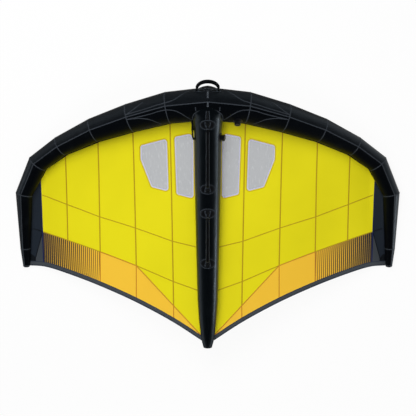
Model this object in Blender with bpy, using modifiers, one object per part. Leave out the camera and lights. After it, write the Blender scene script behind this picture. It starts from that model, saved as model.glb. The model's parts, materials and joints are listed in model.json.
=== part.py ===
"""Inflatable hand-held wing for foiling: leading edge, strut, canopy, handles and air fittings.

Metres, +Z up. The wing lies on its back, strut side up. +X is span, +Y is forward.
Sections are worked out from the middle of the leading edge's axis, and one empty
places the whole wing so that its box is centred on X and Y.
"""

from math import atan2, cos, pi, radians, sin, sqrt, tan

import bmesh
import bpy
from mathutils import Matrix, Vector

# Overall plan of the leading edge's axis, from the middle to the tip
HALF_SPAN = 1.504
SWEEP_DEPTH = 1.3551
DIHEDRAL_RISE = 0.270
DIHEDRAL_POWER = 1.5
LEADING_RADIUS = 0.1325
CORNER = 5
STATION_SPAN_SHARES = (0.0, 0.2094, 0.4120, 0.6085, 0.7920, 0.9226, 1.0, 1.0006, 0.9989)
STATION_SWEEP_SHARES = (0.0, 0.0223, 0.0844, 0.1598, 0.2594, 0.3691, 0.5560, 0.8927, 1.0)
STATION_RADIUS_SHARES = (1.0, 0.9464, 0.8687, 0.7449, 0.6204, 0.6098, 0.5162, 0.3185, 0.2128)
TIP_ROUNDING_ANGLES = (radians(35), radians(65))

# Cloth, film and the gaps between pieces
SLEEVE_WALL = 0.0010
BLADDER_WALL = 0.0006
CANOPY_WALL = 0.0006
PATCH_WALL = 0.0014
SEAM_GAP = 0.0003
SEAT_GAP = 0.0005
OVERRUN = 0.010
TUBE_SIDES = 20
FITTING_SIDES = 20
ROD_LEVEL = 2
ATTACH_STEPS = 2
BLOCK_STATIONS = 3

# Canopy
CAMBER_DEPTH = 0.055
CAMBER_PEAK_SHARE = 0.35
TRAILING_DEPTH = 1.940
TRAILING_HEIGHT = 0.330
TRAILING_HEIGHT_POWER = 1.4
TRAILING_SPAN_SHARES = (0.0, 0.1842, 0.3869, 0.5850, 0.7646, 0.8936, 0.9887)
TRAILING_DEPTH_SHARES = (1.0, 0.9149, 0.8407, 0.7789, 0.7304, 0.7005, 0.6990)
COLUMN_ROWS = 10
BAND_WIDTH = 0.036
TAIL_END_WIDTH = 0.020
CHORD_SEAM_SPAN_SHARES = (0.1842, 0.3869, 0.5850, 0.7646)
YELLOW_END_DEPTH_SHARES = (0.8449, 0.6814, 0.6284, 0.5840)
TIP_SEAM_SPAN_SHARES = (0.8723, 0.9082, 0.8996, 0.8956)
TIP_SEAM_DEPTH_SHARES = (0.2783, 0.3284, 0.5526, 0.6830)

# Windows, as corners outboard of the middle and aft of the leading edge's axis
WINDOW_CORNER_RADIUS = 0.022
OUTER_WINDOW_SPAN_SHARES = (0.3590, 0.2294, 0.2121, 0.3019, 0.3584)
OUTER_WINDOW_DEPTH_SHARES = (0.1778, 0.1495, 0.3665, 0.3495, 0.2351)
INNER_WINDOW_SPAN_SHARES = (0.1755, 0.0931, 0.0771, 0.0771, 0.1662)
INNER_WINDOW_DEPTH_SHARES = (0.1397, 0.1268, 0.1474, 0.3948, 0.3784)

# Strut
STRUT_LENGTH = 1.966
STRUT_RADIUS = 0.1045
STRUT_SQUASH_SHARE = 0.94
STRUT_JOIN_DEPTH = 0.130
STRUT_DEPTH_SHARES = (0.0661, 0.1033, 0.2000, 0.3200, 0.4476, 0.5700, 0.6900, 0.7986, 0.8800, 0.9456)
STRUT_RADIUS_SHARES = (1.0, 0.9809, 0.9600, 0.9280, 0.8900, 0.8420, 0.7890, 0.7321, 0.6350, 0.5024)
TAIL_DEPTH_SHARES = (0.9456, 0.9720, 0.9959, 0.9990, 1.0)
TAIL_RADIUS_SHARES = (0.5024, 0.4200, 0.3062, 0.2200, 0.0800)
NOSE_ANGLES = (radians(14), radians(27), radians(40), radians(55), radians(70))
NOSE_BULGE = 0.004
NOSE_LIFT = 0.0015

# Strut handles
FRONT_HANDLE_DEPTHS = (0.158, 0.670)
REAR_HANDLE_DEPTHS = (0.864, 1.266)
GRIP_RADIUS = 0.0140
GRIP_CLEARANCE = 0.050
GRIP_BEND = 0.030
GRIP_FOOT_RADIUS = 0.0075
GRIP_END_LENGTH = 0.026
HANDLE_PATCH_WIDTH = 0.118
HANDLE_PATCH_LENGTH = 0.084
TAB_WIDTH = 0.046
TAB_LENGTH = 0.066
TAB_HEIGHT = 0.0024

# Grab handle at the front of the leading edge
GRAB_HALF_WIDTH = 0.0865
GRAB_HEIGHT = 0.0825
GRAB_ARCH_POWER = 0.8
GRAB_STEPS = 16
GRAB_PAD_STEPS = 12
GRAB_ANGLE = radians(30)
GRAB_STRAP_RADIUS = 0.0075
GRAB_PAD_RADIUS = 0.0120
GRAB_PAD_ANGLES = (radians(28), radians(152))
FOOT_ANGLES = (radians(72), radians(50), radians(26))
GRAB_PATCH_WIDTH = 0.215
GRAB_PATCH_LENGTH = 0.036

# Valves
VALVE_SPAN = 0.240
VALVE_ANGLE = radians(30)
STRUT_VALVE_DEPTH = 0.264
STRUT_VALVE_ANGLE = radians(15)
FLANGE_RADIUS = 0.0400
FLANGE_WALL = 0.0030
BARREL_RADIUS = 0.0220
BARREL_HEIGHT = 0.030
BARREL_DEPTH = 0.022
BARREL_BORE = 0.0160
SEAT_BORE = 0.0120
SEAT_HEIGHT = 0.0040
HUB_RADIUS = 0.0042
HUB_RIB = 0.0030
STEM_RADIUS = 0.0020
STEM_CLEARANCE = 0.0003
STEM_HEIGHT = 0.024
DISC_RADIUS = 0.0148
DISC_HEIGHT = 0.0030
CAP_RADIUS = 0.0255
CAP_HEIGHT = 0.020
CAP_WALL = 0.0030
CAP_FLUTES = 10
FLUTE_RADIUS = 0.0014
PORTS = 4

# Air hose between the leading edge and the strut, and its clip
HOSE_SPAN = 0.131
HOSE_RADIUS = 0.0060
HOSE_ANGLE = radians(15)
HOSE_STRUT_DEPTH = 0.272
HOSE_STRUT_ANGLE = radians(15)
HOSE_REACH = 0.046
HOSE_STRUT_REACH = 0.022
HOSE_COLLAR_RADIUS = 0.0100
HOSE_COLLAR_HEIGHT = 0.0060
COLLAR_GAP = 0.0008
HOSE_STEPS = 14
CLIP_LENGTH = 0.016
CLIP_WALL = 0.0035
LEVER_LENGTH = 0.030
LEVER_WALL = 0.0030
LEVER_PIN_RADIUS = 0.0020
CLIP_SIDES = 12
PIN_CLEARANCE = 0.0003

# Finishes: colour, roughness
BLACK_CLOTH = ("black_cloth", (0.022, 0.028, 0.036), 0.62)
BLACK_FILM = ("bladder_film", (0.55, 0.57, 0.60), 0.30)
YELLOW_CLOTH = ("yellow_cloth", (0.76, 0.70, 0.02), 0.55)
AMBER_CLOTH = ("amber_cloth", (0.86, 0.52, 0.05), 0.55)
STRIPED_CLOTH = ("striped_cloth", (0.62, 0.38, 0.06), 0.55)
NAVY_CLOTH = ("navy_cloth", (0.045, 0.060, 0.080), 0.55)
WINDOW_FILM = ("window_film", (0.60, 0.63, 0.66), 0.20)
WEBBING = ("webbing", (0.020, 0.023, 0.028), 0.80)
GRIP_FOAM = ("grip_foam", (0.035, 0.038, 0.042), 0.75)
BLACK_PLASTIC = ("black_plastic", (0.015, 0.016, 0.018), 0.45)
HOSE_RUBBER = ("hose_rubber", (0.020, 0.022, 0.025), 0.50)

# Derived values
TIP = len(STATION_SPAN_SHARES) - 1
FULL_TURN = 2 * pi
FACET_ANGLE = FULL_TURN / TUBE_SIDES
ATTACH_ANGLE = pi + ATTACH_STEPS * FACET_ANGLE
UP = Vector((0, 0, 1))
SIDES = (("left", -1), ("right", 1))


def clear_scene():
    """Remove whatever the scene holds, so that the script can be run again."""
    for item in list(bpy.data.objects):
        bpy.data.objects.remove(item, do_unlink=True)


def collection(name):
    """Give a new collection, linked to the scene."""
    made = bpy.data.collections.new(name)
    bpy.context.scene.collection.children.link(made)
    return made


clear_scene()
PARTS = collection("wingfoil_wing")
CUTTERS = collection("cutters")


def finish(name, colour, roughness):
    """Give the Principled material of this name, made once."""
    found = bpy.data.materials.get(name)
    if found:
        return found
    made = bpy.data.materials.new(name)
    made.use_nodes = True
    shader = made.node_tree.nodes["Principled BSDF"]
    shader.inputs["Base Color"].default_value = (*colour, 1.0)
    shader.inputs["Roughness"].default_value = roughness
    shader.inputs["Metallic"].default_value = 0.0
    return made


def place(obj, look, parent, cutter=False):
    """Link a finished object, give it its finish, and hang it on its parent."""
    for home in list(obj.users_collection):
        home.objects.unlink(obj)
    (CUTTERS if cutter else PARTS).objects.link(obj)
    obj.parent = parent
    if cutter:
        obj.hide_render = True
        obj.display_type = "WIRE"
    elif look:
        obj.data.materials.clear()
        obj.data.materials.append(finish(*look))
    return obj


def mesh_object(name, verts, faces, look, parent, cutter=False):
    """Make a mesh object from points and faces, with its faces turned outward."""
    mesh = bpy.data.meshes.new(name)
    mesh.from_pydata([tuple(v) for v in verts], [], faces)
    shaper = bmesh.new()
    shaper.from_mesh(mesh)
    bmesh.ops.recalc_face_normals(shaper, faces=shaper.faces)
    shaper.to_mesh(mesh)
    shaper.free()
    return place(bpy.data.objects.new(name, mesh), look, parent, cutter)


def bridge_faces(count, sides, first=0, joined=False):
    """Triangles between successive rings of equal size; joined links the last to the first."""
    faces = []
    spans = count if joined else count - 1
    for row in range(spans):
        near = first + row * sides
        far = first + (row + 1) % count * sides
        for k in range(sides):
            after = (k + 1) % sides
            faces.append((near + k, near + after, far + after))
            faces.append((near + k, far + after, far + k))
    return faces


def loft(name, rings, look, parent, joined=False, cutter=False):
    """Skin a list of rings: capped at both ends, or joined into a hollow band."""
    sides = len(rings[0])
    verts = [point for ring in rings for point in ring]
    faces = bridge_faces(len(rings), sides, joined=joined)
    if not joined:
        faces.append(tuple(range(sides)))
        last = (len(rings) - 1) * sides
        faces.append(tuple(range(last, last + sides)))
    return mesh_object(name, verts, faces, look, parent, cutter)


def two_skins(name, outer, inner, look, parent):
    """A closed bag with a wall: the outer skin and the inner one, turned to face the hollow."""
    skins = bmesh.new()
    for rings, inward in ((outer, False), (inner, True)):
        sides = len(rings[0])
        mesh = bpy.data.meshes.new(name)
        last = (len(rings) - 1) * sides
        faces = bridge_faces(len(rings), sides) + [tuple(range(sides)), tuple(range(last, last + sides))]
        mesh.from_pydata([tuple(v) for ring in rings for v in ring], [], faces)
        skin = bmesh.new()
        skin.from_mesh(mesh)
        bmesh.ops.recalc_face_normals(skin, faces=skin.faces)
        if inward:
            bmesh.ops.reverse_faces(skin, faces=skin.faces)
        skin.to_mesh(mesh)
        skin.free()
        skins.from_mesh(mesh)
        bpy.data.meshes.remove(mesh)
    mesh = bpy.data.meshes.new(name)
    skins.to_mesh(mesh)
    skins.free()
    return place(bpy.data.objects.new(name, mesh), look, parent)


def boolean(obj, cutter, operation="DIFFERENCE"):
    """Cut, join or keep with another object, by the exact solver."""
    step = obj.modifiers.new(operation.lower(), "BOOLEAN")
    step.solver = "EXACT"
    step.operation = operation
    step.object = cutter
    return obj


def turned(name, profile, sides, look, parent, cutter=False):
    """Revolve a profile of (radius, height) about Z with a Screw modifier.

    The profile runs from the axis at the top, down the outer side, to the axis at the bottom,
    or round a closed section where its ends are away from the axis.
    """
    on_axis = profile[0][0] == 0
    edges = [(k, k + 1) for k in range(len(profile) - 1)]
    if not on_axis:
        edges.append((len(profile) - 1, 0))
    mesh = bpy.data.meshes.new(name)
    mesh.from_pydata([(radius, 0, height) for radius, height in profile], edges, [])
    obj = place(bpy.data.objects.new(name, mesh), look, parent, cutter)
    screw = obj.modifiers.new("turn", "SCREW")
    screw.axis = "Z"
    screw.angle = FULL_TURN
    screw.steps = sides
    screw.render_steps = sides
    screw.use_merge_vertices = True
    screw.merge_threshold = SEAM_GAP / 10
    return obj


def rod(name, points, radius, look, parent, cutter=False, radii=None):
    """A round bar along a list of points, made a mesh with welded caps."""
    line = bpy.data.curves.new(name, "CURVE")
    line.dimensions = "3D"
    line.bevel_depth = radius
    line.bevel_resolution = ROD_LEVEL
    line.use_fill_caps = True
    run = line.splines.new("POLY")
    run.points.add(len(points) - 1)
    for k, point in enumerate(points):
        run.points[k].co = (*point, 1)
        run.points[k].radius = radii[k] if radii else 1
    drawn = bpy.data.objects.new(name + "_line", line)
    PARTS.objects.link(drawn)
    bpy.context.view_layer.update()
    depsgraph = bpy.context.evaluated_depsgraph_get()
    mesh = bpy.data.meshes.new_from_object(drawn.evaluated_get(depsgraph))
    bpy.data.objects.remove(drawn, do_unlink=True)
    shaper = bmesh.new()
    shaper.from_mesh(mesh)
    bmesh.ops.remove_doubles(shaper, verts=shaper.verts, dist=SEAM_GAP / 10)
    bmesh.ops.recalc_face_normals(shaper, faces=shaper.faces)
    shaper.to_mesh(mesh)
    shaper.free()
    mesh.name = name
    return place(bpy.data.objects.new(name, mesh), look, parent, cutter)


def empty(name, location, rotation, parent):
    """An empty that carries a moving piece on its joint's axis."""
    made = bpy.data.objects.new(name, None)
    PARTS.objects.link(made)
    made.parent = parent
    made.matrix_basis = Matrix.Translation(location) @ rotation.to_4x4()
    return made


def turn_to(direction, side_hint):
    """The rotation whose Z axis is the direction and whose X axis lies nearest the hint."""
    z = direction.normalized()
    x = (side_hint - z * side_hint.dot(z)).normalized()
    y = z.cross(x)
    return Matrix((x, y, z)).transposed()


class Station:
    """One ring corner of the leading edge: its centre, radius and the frame of its mitre."""

    def __init__(self, centre, radius, before, after):
        self.centre = centre
        self.radius = radius
        self.along = (before + after).normalized()
        self.out = UP.cross(self.along).normalized()
        self.up = self.along.cross(self.out)
        flat_before = atan2(before.y, before.x)
        flat_after = atan2(after.y, after.x)
        self.stretch = 1 / cos((flat_before - flat_after) / 2)

    def point(self, angle, radius, shift=0.0):
        """The point at an angle round the mitre, from outboard, over the top."""
        across = self.out * (self.stretch * cos(angle)) + self.up * sin(angle)
        return self.centre + across * radius + self.along * shift

    def ring(self, inset=0.0, shift=0.0):
        """The ring of corners at this station, at an inset from the outer surface."""
        radius = self.radius - inset
        return [self.point(k * FACET_ANGLE, radius, shift) for k in range(TUBE_SIDES)]


def station_centres(heights):
    """The axis points of one half, from the named plan and a list of heights."""
    pairs = zip(STATION_SPAN_SHARES, STATION_SWEEP_SHARES, heights)
    return [Vector((HALF_SPAN * x, -SWEEP_DEPTH * y, z)) for x, y, z in pairs]


def make_stations():
    """The mitre stations of the right half, with the tip's rails standing on the ground."""
    radii = [LEADING_RADIUS * share for share in STATION_RADIUS_SHARES]
    corner_span = STATION_SPAN_SHARES[CORNER]
    lift = [1 - (share / corner_span) ** DIHEDRAL_POWER for share in STATION_SPAN_SHARES[:CORNER]]
    leans = [1.0] * len(radii)
    for _ in range(3):
        rails = [radius * lean for radius, lean in zip(radii[CORNER:], leans[CORNER:])]
        heights = [rails[0] + DIHEDRAL_RISE * share for share in lift] + rails
        centres = station_centres(heights)
        runs = [(b - a).normalized() for a, b in zip(centres, centres[1:])]
        start = Vector((runs[0].x, -runs[0].y, -runs[0].z))
        befores = [start] + runs
        afters = runs + [runs[-1]]
        stations = [Station(*each) for each in zip(centres, radii, befores, afters)]
        leans = [station.up.z for station in stations]
    return stations


STATIONS = make_stations()
MIDDLE = STATIONS[0]
ATTACH_POINTS = [s.point(ATTACH_ANGLE, s.radius + SEAT_GAP) for s in STATIONS]
TRAILING_X = [HALF_SPAN * share for share in TRAILING_SPAN_SHARES]
TRAILING_Y = [-TRAILING_DEPTH * share for share in TRAILING_DEPTH_SHARES]


def between(value, low, high):
    """How far a value lies from low to high, as a share."""
    return (value - low) / (high - low)


def along_line(places, values, at):
    """Read a broken line of values at a place, held level past its ends."""
    if at <= places[0]:
        return values[0]
    for k in range(len(places) - 1):
        if at <= places[k + 1]:
            share = between(at, places[k], places[k + 1])
            return values[k] + (values[k + 1] - values[k]) * share
    return values[-1]


def along_curve(places, values, at):
    """Read a smooth curve through the values at a place."""
    slopes = []
    for k in range(len(places)):
        low, high = max(k - 1, 0), min(k + 1, len(places) - 1)
        slopes.append((values[high] - values[low]) / (places[high] - places[low]))
    k = max(n for n in range(len(places) - 1) if n == 0 or places[n] <= at)
    step = places[k + 1] - places[k]
    t = (at - places[k]) / step
    start = (1 + 2 * t) * (1 - t) ** 2 * values[k] + t * (1 - t) ** 2 * step * slopes[k]
    end = t * t * (3 - 2 * t) * values[k + 1] + t * t * (t - 1) * step * slopes[k + 1]
    return start + end


def trailing_y(x):
    """The trailing edge's place, aft of the leading edge's axis."""
    return along_curve(TRAILING_X, TRAILING_Y, x)


def trailing_z(x):
    """The trailing edge's height, which falls to the tip."""
    tip = ATTACH_POINTS[TIP]
    fall = min(x / tip.x, 1) ** TRAILING_HEIGHT_POWER
    return TRAILING_HEIGHT + (tip.z - TRAILING_HEIGHT) * fall


def camber(share):
    """The hollow of a chord, nothing at its ends and one at its deepest."""
    peak = CAMBER_PEAK_SHARE
    share = min(max(share, 0), 1)
    if share < peak:
        return (2 * peak * share - share ** 2) / peak ** 2
    return (1 - 2 * peak + 2 * peak * share - share ** 2) / (1 - peak) ** 2


def canopy_z(x, y):
    """The height of the canopy's middle surface at a place in plan."""
    x = abs(x)
    spans = [point.x for point in ATTACH_POINTS]
    front_y = along_line(spans, [point.y for point in ATTACH_POINTS], x)
    front_z = along_line(spans, [point.z for point in ATTACH_POINTS], x)
    share = between(y, front_y, trailing_y(min(x, TRAILING_X[-1])))
    depth = CAMBER_DEPTH * (1 - (x / ATTACH_POINTS[TIP].x) ** 2)
    level = front_z + (trailing_z(x) - front_z) * min(max(share, 0), 1)
    return level - depth * camber(share)


def draped(x, y):
    """A point of the canopy."""
    return Vector((x, y, canopy_z(x, y)))


def spread(start, end, steps):
    """Points in plan along a straight seam, both ends included."""
    return [start + (end - start) * (k / steps) for k in range(steps + 1)]


def path(corners, steps):
    """Points in plan along a seam with corners, with a number of steps for each stretch."""
    points = [corners[0]]
    for start, end, count in zip(corners, corners[1:], steps):
        points += spread(start, end, count)[1:]
    return points


def cloth(name, near, far, columns, sign, look, parent):
    """A thin sheet on the canopy between two seams of equal point counts.

    The sheet is an open grid with a Solidify wall about its middle surface.
    """
    verts = []
    for a, b in zip(near, far):
        for k in range(columns + 1):
            flat = a + (b - a) * (k / columns)
            point = draped(flat.x, flat.y)
            verts.append((point.x * sign, point.y, point.z))
    wide = columns + 1
    faces = []
    for row in range(len(near) - 1):
        for k in range(columns):
            corner = row * wide + k
            faces.append((corner, corner + 1, corner + wide + 1, corner + wide))
    sheet = mesh_object(name, verts, faces, look, parent)
    wall = sheet.modifiers.new("wall", "SOLIDIFY")
    wall.thickness = CANOPY_WALL
    wall.offset = 0
    return sheet


def make_airframe(root):
    """The leading edge's sixteen sleeve panels and the bladder inside them."""
    half = SEAM_GAP / 2
    for side, sign in SIDES:
        for k in range(TIP):
            first, second = STATIONS[k], STATIONS[k + 1]
            outer = [first.ring(0, half), second.ring(0, -half)]
            inner = [first.ring(SLEEVE_WALL, half), second.ring(SLEEVE_WALL, -half)]
            name = f"leading_edge_panel_{side}_{k + 1}"
            if k < TIP - 1:
                rings = [mirrored(ring, sign) for ring in outer + inner[::-1]]
                loft(name, rings, BLACK_CLOTH, root, joined=True)
            else:
                outer = [outer[0]] + tip_rings(second, 0)
                inner = [inner[0]] + tip_rings(second, SLEEVE_WALL)
                rings = [mirrored(ring, sign) for ring in inner[::-1] + outer]
                loft(name, rings, BLACK_CLOTH, root)
    skins = [bladder_rings(SLEEVE_WALL + SEAM_GAP + extra) for extra in (0, BLADDER_WALL)]
    two_skins("leading_edge_bladder", *skins, BLACK_FILM, root)


def tip_rings(station, inset):
    """The closed, rounded end past the last station."""
    radius = station.radius - inset
    rings = [station.ring(inset)]
    for angle in TIP_ROUNDING_ANGLES:
        rings.append(station.ring(station.radius - radius * cos(angle), radius * sin(angle)))
    return rings


def mirrored(ring, sign):
    """A ring as it is, or on the other side of the middle."""
    return [Vector((point.x * sign, point.y, point.z)) for point in ring]


def bladder_rings(inset):
    """Every ring of a skin inside the leading edge, from the left tip to the right."""
    right = [station.ring(inset) for station in STATIONS[:-1]] + tip_rings(STATIONS[-1], inset)
    left = [mirrored(ring, -1) for ring in right[:0:-1]]
    return left + right


def leading_block(name, grow, root):
    """A solid of the middle of the leading edge, grown by a clearance, to cut with."""
    right = [station.ring(-grow) for station in STATIONS[:BLOCK_STATIONS]]
    left = [mirrored(ring, -1) for ring in right[:0:-1]]
    return loft(name, left + right, None, root, cutter=True)


def middle_seam_rows():
    """The places of the canopy's rows along its middle, front to back, ending at its edge."""
    front = ATTACH_POINTS[0].y
    rear = trailing_y(0) + BAND_WIDTH + TAIL_END_WIDTH
    rows = [front + (rear - front) * k / COLUMN_ROWS for k in range(COLUMN_ROWS + 1)]
    return rows + [trailing_y(0) + BAND_WIDTH, trailing_y(0)]


def keel_z(y):
    """The strut's underside, resting on the rows of the canopy's middle."""
    rows = middle_seam_rows()
    heights = [canopy_z(0, row) for row in rows]
    slope = (heights[-1] - heights[-2]) / (rows[-1] - rows[-2])
    past = min(y - rows[-1], 0) * slope
    return along_line([-row for row in rows], heights, -y) + past + CANOPY_WALL / 2 + SEAM_GAP


def strut_radius(y):
    """The strut's half width at a place along it."""
    places = [STRUT_LENGTH * share for share in STRUT_DEPTH_SHARES + TAIL_DEPTH_SHARES[1:]]
    sizes = [STRUT_RADIUS * share for share in STRUT_RADIUS_SHARES + TAIL_RADIUS_SHARES[1:]]
    return along_line(places, sizes, -y)


def oval(width, y, middle, above, below):
    """A ring across the strut, with its own rise above and below the middle."""
    ring = []
    for k in range(TUBE_SIDES):
        angle = k * FACET_ANGLE
        rise = above if sin(angle) > 0 else below
        ring.append(Vector((width * cos(angle), y, middle + rise * sin(angle))))
    return ring


def strut_centre_z(y):
    """The height of the strut's axis."""
    return keel_z(y) + strut_radius(y) * STRUT_SQUASH_SHARE


def crest_z(y):
    """The height of the strut's top line, behind the nose."""
    return strut_centre_z(y) + strut_radius(y) * STRUT_SQUASH_SHARE


def strut_ring(y, inset):
    """A ring of the strut's straight run, at an inset from its outer surface."""
    radius = strut_radius(y)
    rise = radius * STRUT_SQUASH_SHARE - inset
    return oval(radius - inset, y, strut_centre_z(y), rise, rise)


def nose_rings(inset):
    """The dome that rides over the leading edge, widening aft on a round outline."""
    join = -STRUT_JOIN_DEPTH
    radius = strut_radius(join)
    front_y = join + radius * cos(NOSE_ANGLES[0])
    front_top = MIDDLE.centre.z + sqrt(MIDDLE.radius ** 2 - front_y ** 2) + NOSE_LIFT
    rings = []
    for angle in NOSE_ANGLES:
        y = join + radius * cos(angle)
        surface = MIDDLE.centre.z + sqrt(MIDDLE.radius ** 2 - y ** 2)
        share = between(y, front_y, join)
        top = front_top + (crest_z(join) - front_top) * share + NOSE_BULGE * sin(pi * share)
        below = radius * STRUT_SQUASH_SHARE - inset
        rings.append(oval(radius * sin(angle) - inset, y, surface, top - surface - inset, below))
    return rings


def strut_places():
    """Where the strut's rings lie, from its join with the leading edge to the tail's seam."""
    return [-STRUT_LENGTH * share for share in STRUT_DEPTH_SHARES]


def strut_block(name, grow, root):
    """A solid of the strut, grown by a clearance, to cut with."""
    rings = nose_rings(-grow) + [strut_ring(y, -grow) for y in strut_places()]
    return loft(name, rings, None, root, cutter=True)


def make_strut(root, blocks):
    """The strut's sleeve with its nose, its closed tail and its bladder."""
    places = strut_places()
    sleeve = loft("strut_sleeve", nose_rings(0) + [strut_ring(y, 0) for y in places], BLACK_CLOTH, root)
    hollow = nose_rings(SLEEVE_WALL) + [strut_ring(y, SLEEVE_WALL) for y in places]
    end = [point + Vector((0, -OVERRUN, 0)) for point in hollow[-1]]
    core = loft("strut_hollow", hollow + [end], None, root, cutter=True)
    boolean(sleeve, core)
    boolean(sleeve, blocks["leading"])

    seam = places[-1] - SEAM_GAP
    ends = [seam] + [-STRUT_LENGTH * share for share in TAIL_DEPTH_SHARES[1:]]
    outer = [strut_ring(y, 0) for y in ends]
    inner = [strut_ring(y, SLEEVE_WALL) for y in ends[:-1]]
    loft("strut_tail", inner[::-1] + outer, BLACK_CLOTH, root)

    skins = []
    for extra in (0, BLADDER_WALL):
        inset = SLEEVE_WALL + SEAM_GAP + extra
        front = -(LEADING_RADIUS + STRUT_RADIUS / 4)
        start = strut_ring(front, inset + STRUT_RADIUS / 4)
        run = [strut_ring(y, inset) for y in [front - STRUT_RADIUS / 8] + places[1:]]
        lead = [point + Vector((0, -extra, 0)) for point in start]
        last = [point + Vector((0, OVERRUN + extra, 0)) for point in run[-1]]
        skins.append([lead] + run[:-1] + [last])
    two_skins("strut_bladder", *skins, BLACK_FILM, root)


def window_outline(spans, depths, inset):
    """A window's outline in plan, its corners rounded, pulled in by an inset."""
    corners = [Vector((HALF_SPAN * x, -TRAILING_DEPTH * y)) for x, y in zip(spans, depths)]
    middle = sum(corners, Vector((0, 0))) / len(corners)
    points = []
    for k, corner in enumerate(corners):
        before = (corners[k - 1] - corner).normalized()
        after = (corners[(k + 1) % len(corners)] - corner).normalized()
        opening = before.angle(after)
        reach = WINDOW_CORNER_RADIUS / tan(opening / 2)
        centre = corner + (before + after).normalized() * (WINDOW_CORNER_RADIUS / sin(opening / 2))
        first = corner + before * reach - centre
        sweep = (pi - opening) / 3
        turn = 1 if first.cross(corner - centre) > 0 else -1
        for step in range(4):
            swung = first.copy()
            swung.rotate(Matrix.Rotation(turn * sweep * step, 2))
            points.append(centre + swung)
    return [point + (middle - point).normalized() * inset for point in points]


def prism(name, outline, low, high, sign, root):
    """An upright prism on an outline in plan, to cut with."""
    rings = [[Vector((p.x * sign, p.y, z)) for p in outline] for z in (low, high)]
    return loft(name, rings, None, root, cutter=True)


def make_canopy(root):
    """Both halves of the canopy, panel by panel, with the windows let in."""
    gap = Vector((SEAM_GAP / 2, 0))
    drop = Vector((0, SEAM_GAP / 2))
    fronts = [Vector((point.x, point.y)) for point in ATTACH_POINTS[:CORNER]]
    fronts[0] = Vector((0, fronts[0].y))
    spans = [0] + [HALF_SPAN * share for share in CHORD_SEAM_SPAN_SHARES]
    band_top = [trailing_y(x) + BAND_WIDTH for x in spans]
    yellow_ends = [-TRAILING_DEPTH * share for share in YELLOW_END_DEPTH_SHARES]
    ends = [Vector((0, band_top[0] + TAIL_END_WIDTH))]
    ends += [Vector((x, y)) for x, y in zip(spans[1:], yellow_ends)]
    tip_seam = [
        Vector((HALF_SPAN * x, -TRAILING_DEPTH * y))
        for x, y in zip(TIP_SEAM_SPAN_SHARES, TIP_SEAM_DEPTH_SHARES)
    ]
    along = between(tip_seam[0].x, fronts[-1].x, ATTACH_POINTS[CORNER].x)
    corner = Vector((ATTACH_POINTS[CORNER].x, ATTACH_POINTS[CORNER].y))
    tip_seam[0] = fronts[-1] + (corner - fronts[-1]) * along
    windows = (
        ("window_inner", INNER_WINDOW_SPAN_SHARES, INNER_WINDOW_DEPTH_SHARES, 1),
        ("window_outer", OUTER_WINDOW_SPAN_SHARES, OUTER_WINDOW_DEPTH_SHARES, 2),
    )
    ceiling = MIDDLE.centre.z + MIDDLE.radius
    for side, sign in SIDES:
        columns = {}
        for k in range(CORNER - 1):
            near = spread(fronts[k] + gap, ends[k] + gap + drop, COLUMN_ROWS)
            far = spread(fronts[k + 1] - gap, ends[k + 1] - gap + drop, COLUMN_ROWS)
            name = f"canopy_column_{side}_{k + 1}"
            columns[k + 1] = cloth(name, near, far, 3, sign, YELLOW_CLOTH, root)
        last = path([fronts[-1] + gap, ends[-1] + gap + drop], [7])
        outer_edge = path([tip_seam[0] - gap, tip_seam[1] - gap, tip_seam[2] - gap + drop], [2, 5])
        cloth(f"canopy_column_{side}_{CORNER}", last, outer_edge, 3, sign, YELLOW_CLOTH, root)

        for name, shares_x, shares_y, k in windows:
            pane_near = spread(fronts[k - 1] + gap, ends[k - 1] + gap + drop, COLUMN_ROWS)
            pane_far = spread(fronts[k] - gap, ends[k] - gap + drop, COLUMN_ROWS)
            pane = cloth(f"{name}_{side}", pane_near, pane_far, 3, sign, WINDOW_FILM, root)
            hole = window_outline(shares_x, shares_y, 0)
            sheet = window_outline(shares_x, shares_y, SEAM_GAP)
            boolean(columns[k], prism(f"{name}_{side}_hole", hole, 0, ceiling, sign, root))
            boolean(pane, prism(f"{name}_{side}_edge", sheet, 0, ceiling, sign, root), "INTERSECT")

        seam_x = spans + [tip_seam[-1].x]
        upper = path([ends[k] - drop for k in range(CORNER - 1)], [4, 4, 4])
        lower = band_edge(seam_x[:4], 4, drop)
        upper[0] += gap
        lower[0] += gap
        upper[-1] -= gap
        lower[-1] -= gap
        cloth(f"trailing_panel_{side}", upper, lower, 3, sign, AMBER_CLOTH, root)

        upper = path([ends[3] - drop + gap, ends[4] - drop, tip_seam[2] - drop - gap], [4, 4])
        lower = band_edge(seam_x[3:], 4, drop)
        lower[0] += gap
        lower[-1] -= gap
        cloth(f"striped_panel_{side}", upper, lower, 3, sign, STRIPED_CLOTH, root)

        rail = [Vector((point.x, point.y)) for point in ATTACH_POINTS[CORNER:]]
        rail[-1] = rail_end(rail[-2], rail[-1])
        inner_corners = [tip_seam[0] + gap, tip_seam[1] + gap, tip_seam[2] + gap]
        inner_corners.append(Vector((seam_x[-1], trailing_y(seam_x[-1]) + BAND_WIDTH)) + gap + drop)
        outer_corners = rail[:-1] + [rail[-1] + drop]
        inner_edge = path(inner_corners, [2, 5, 3])
        outer_edge = path(outer_corners, [3, 5, 2])
        cloth(f"tip_panel_{side}", inner_edge, outer_edge, 2, sign, NAVY_CLOTH, root)

        upper = band_edge(seam_x, 4, -drop) + [rail[-1] - drop]
        lower = [Vector((point.x, trailing_y(point.x))) for point in upper]
        upper[0] += gap
        lower[0] += gap
        cloth(f"trailing_band_{side}", upper, lower, 1, sign, NAVY_CLOTH, root)


def rail_end(start, end):
    """Where the rail's inner line meets the upper edge of the trailing band."""
    spot = end
    for _ in range(4):
        share = between(trailing_y(spot.x) + BAND_WIDTH, start.y, end.y)
        spot = start + (end - start) * share
    return spot


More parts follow.
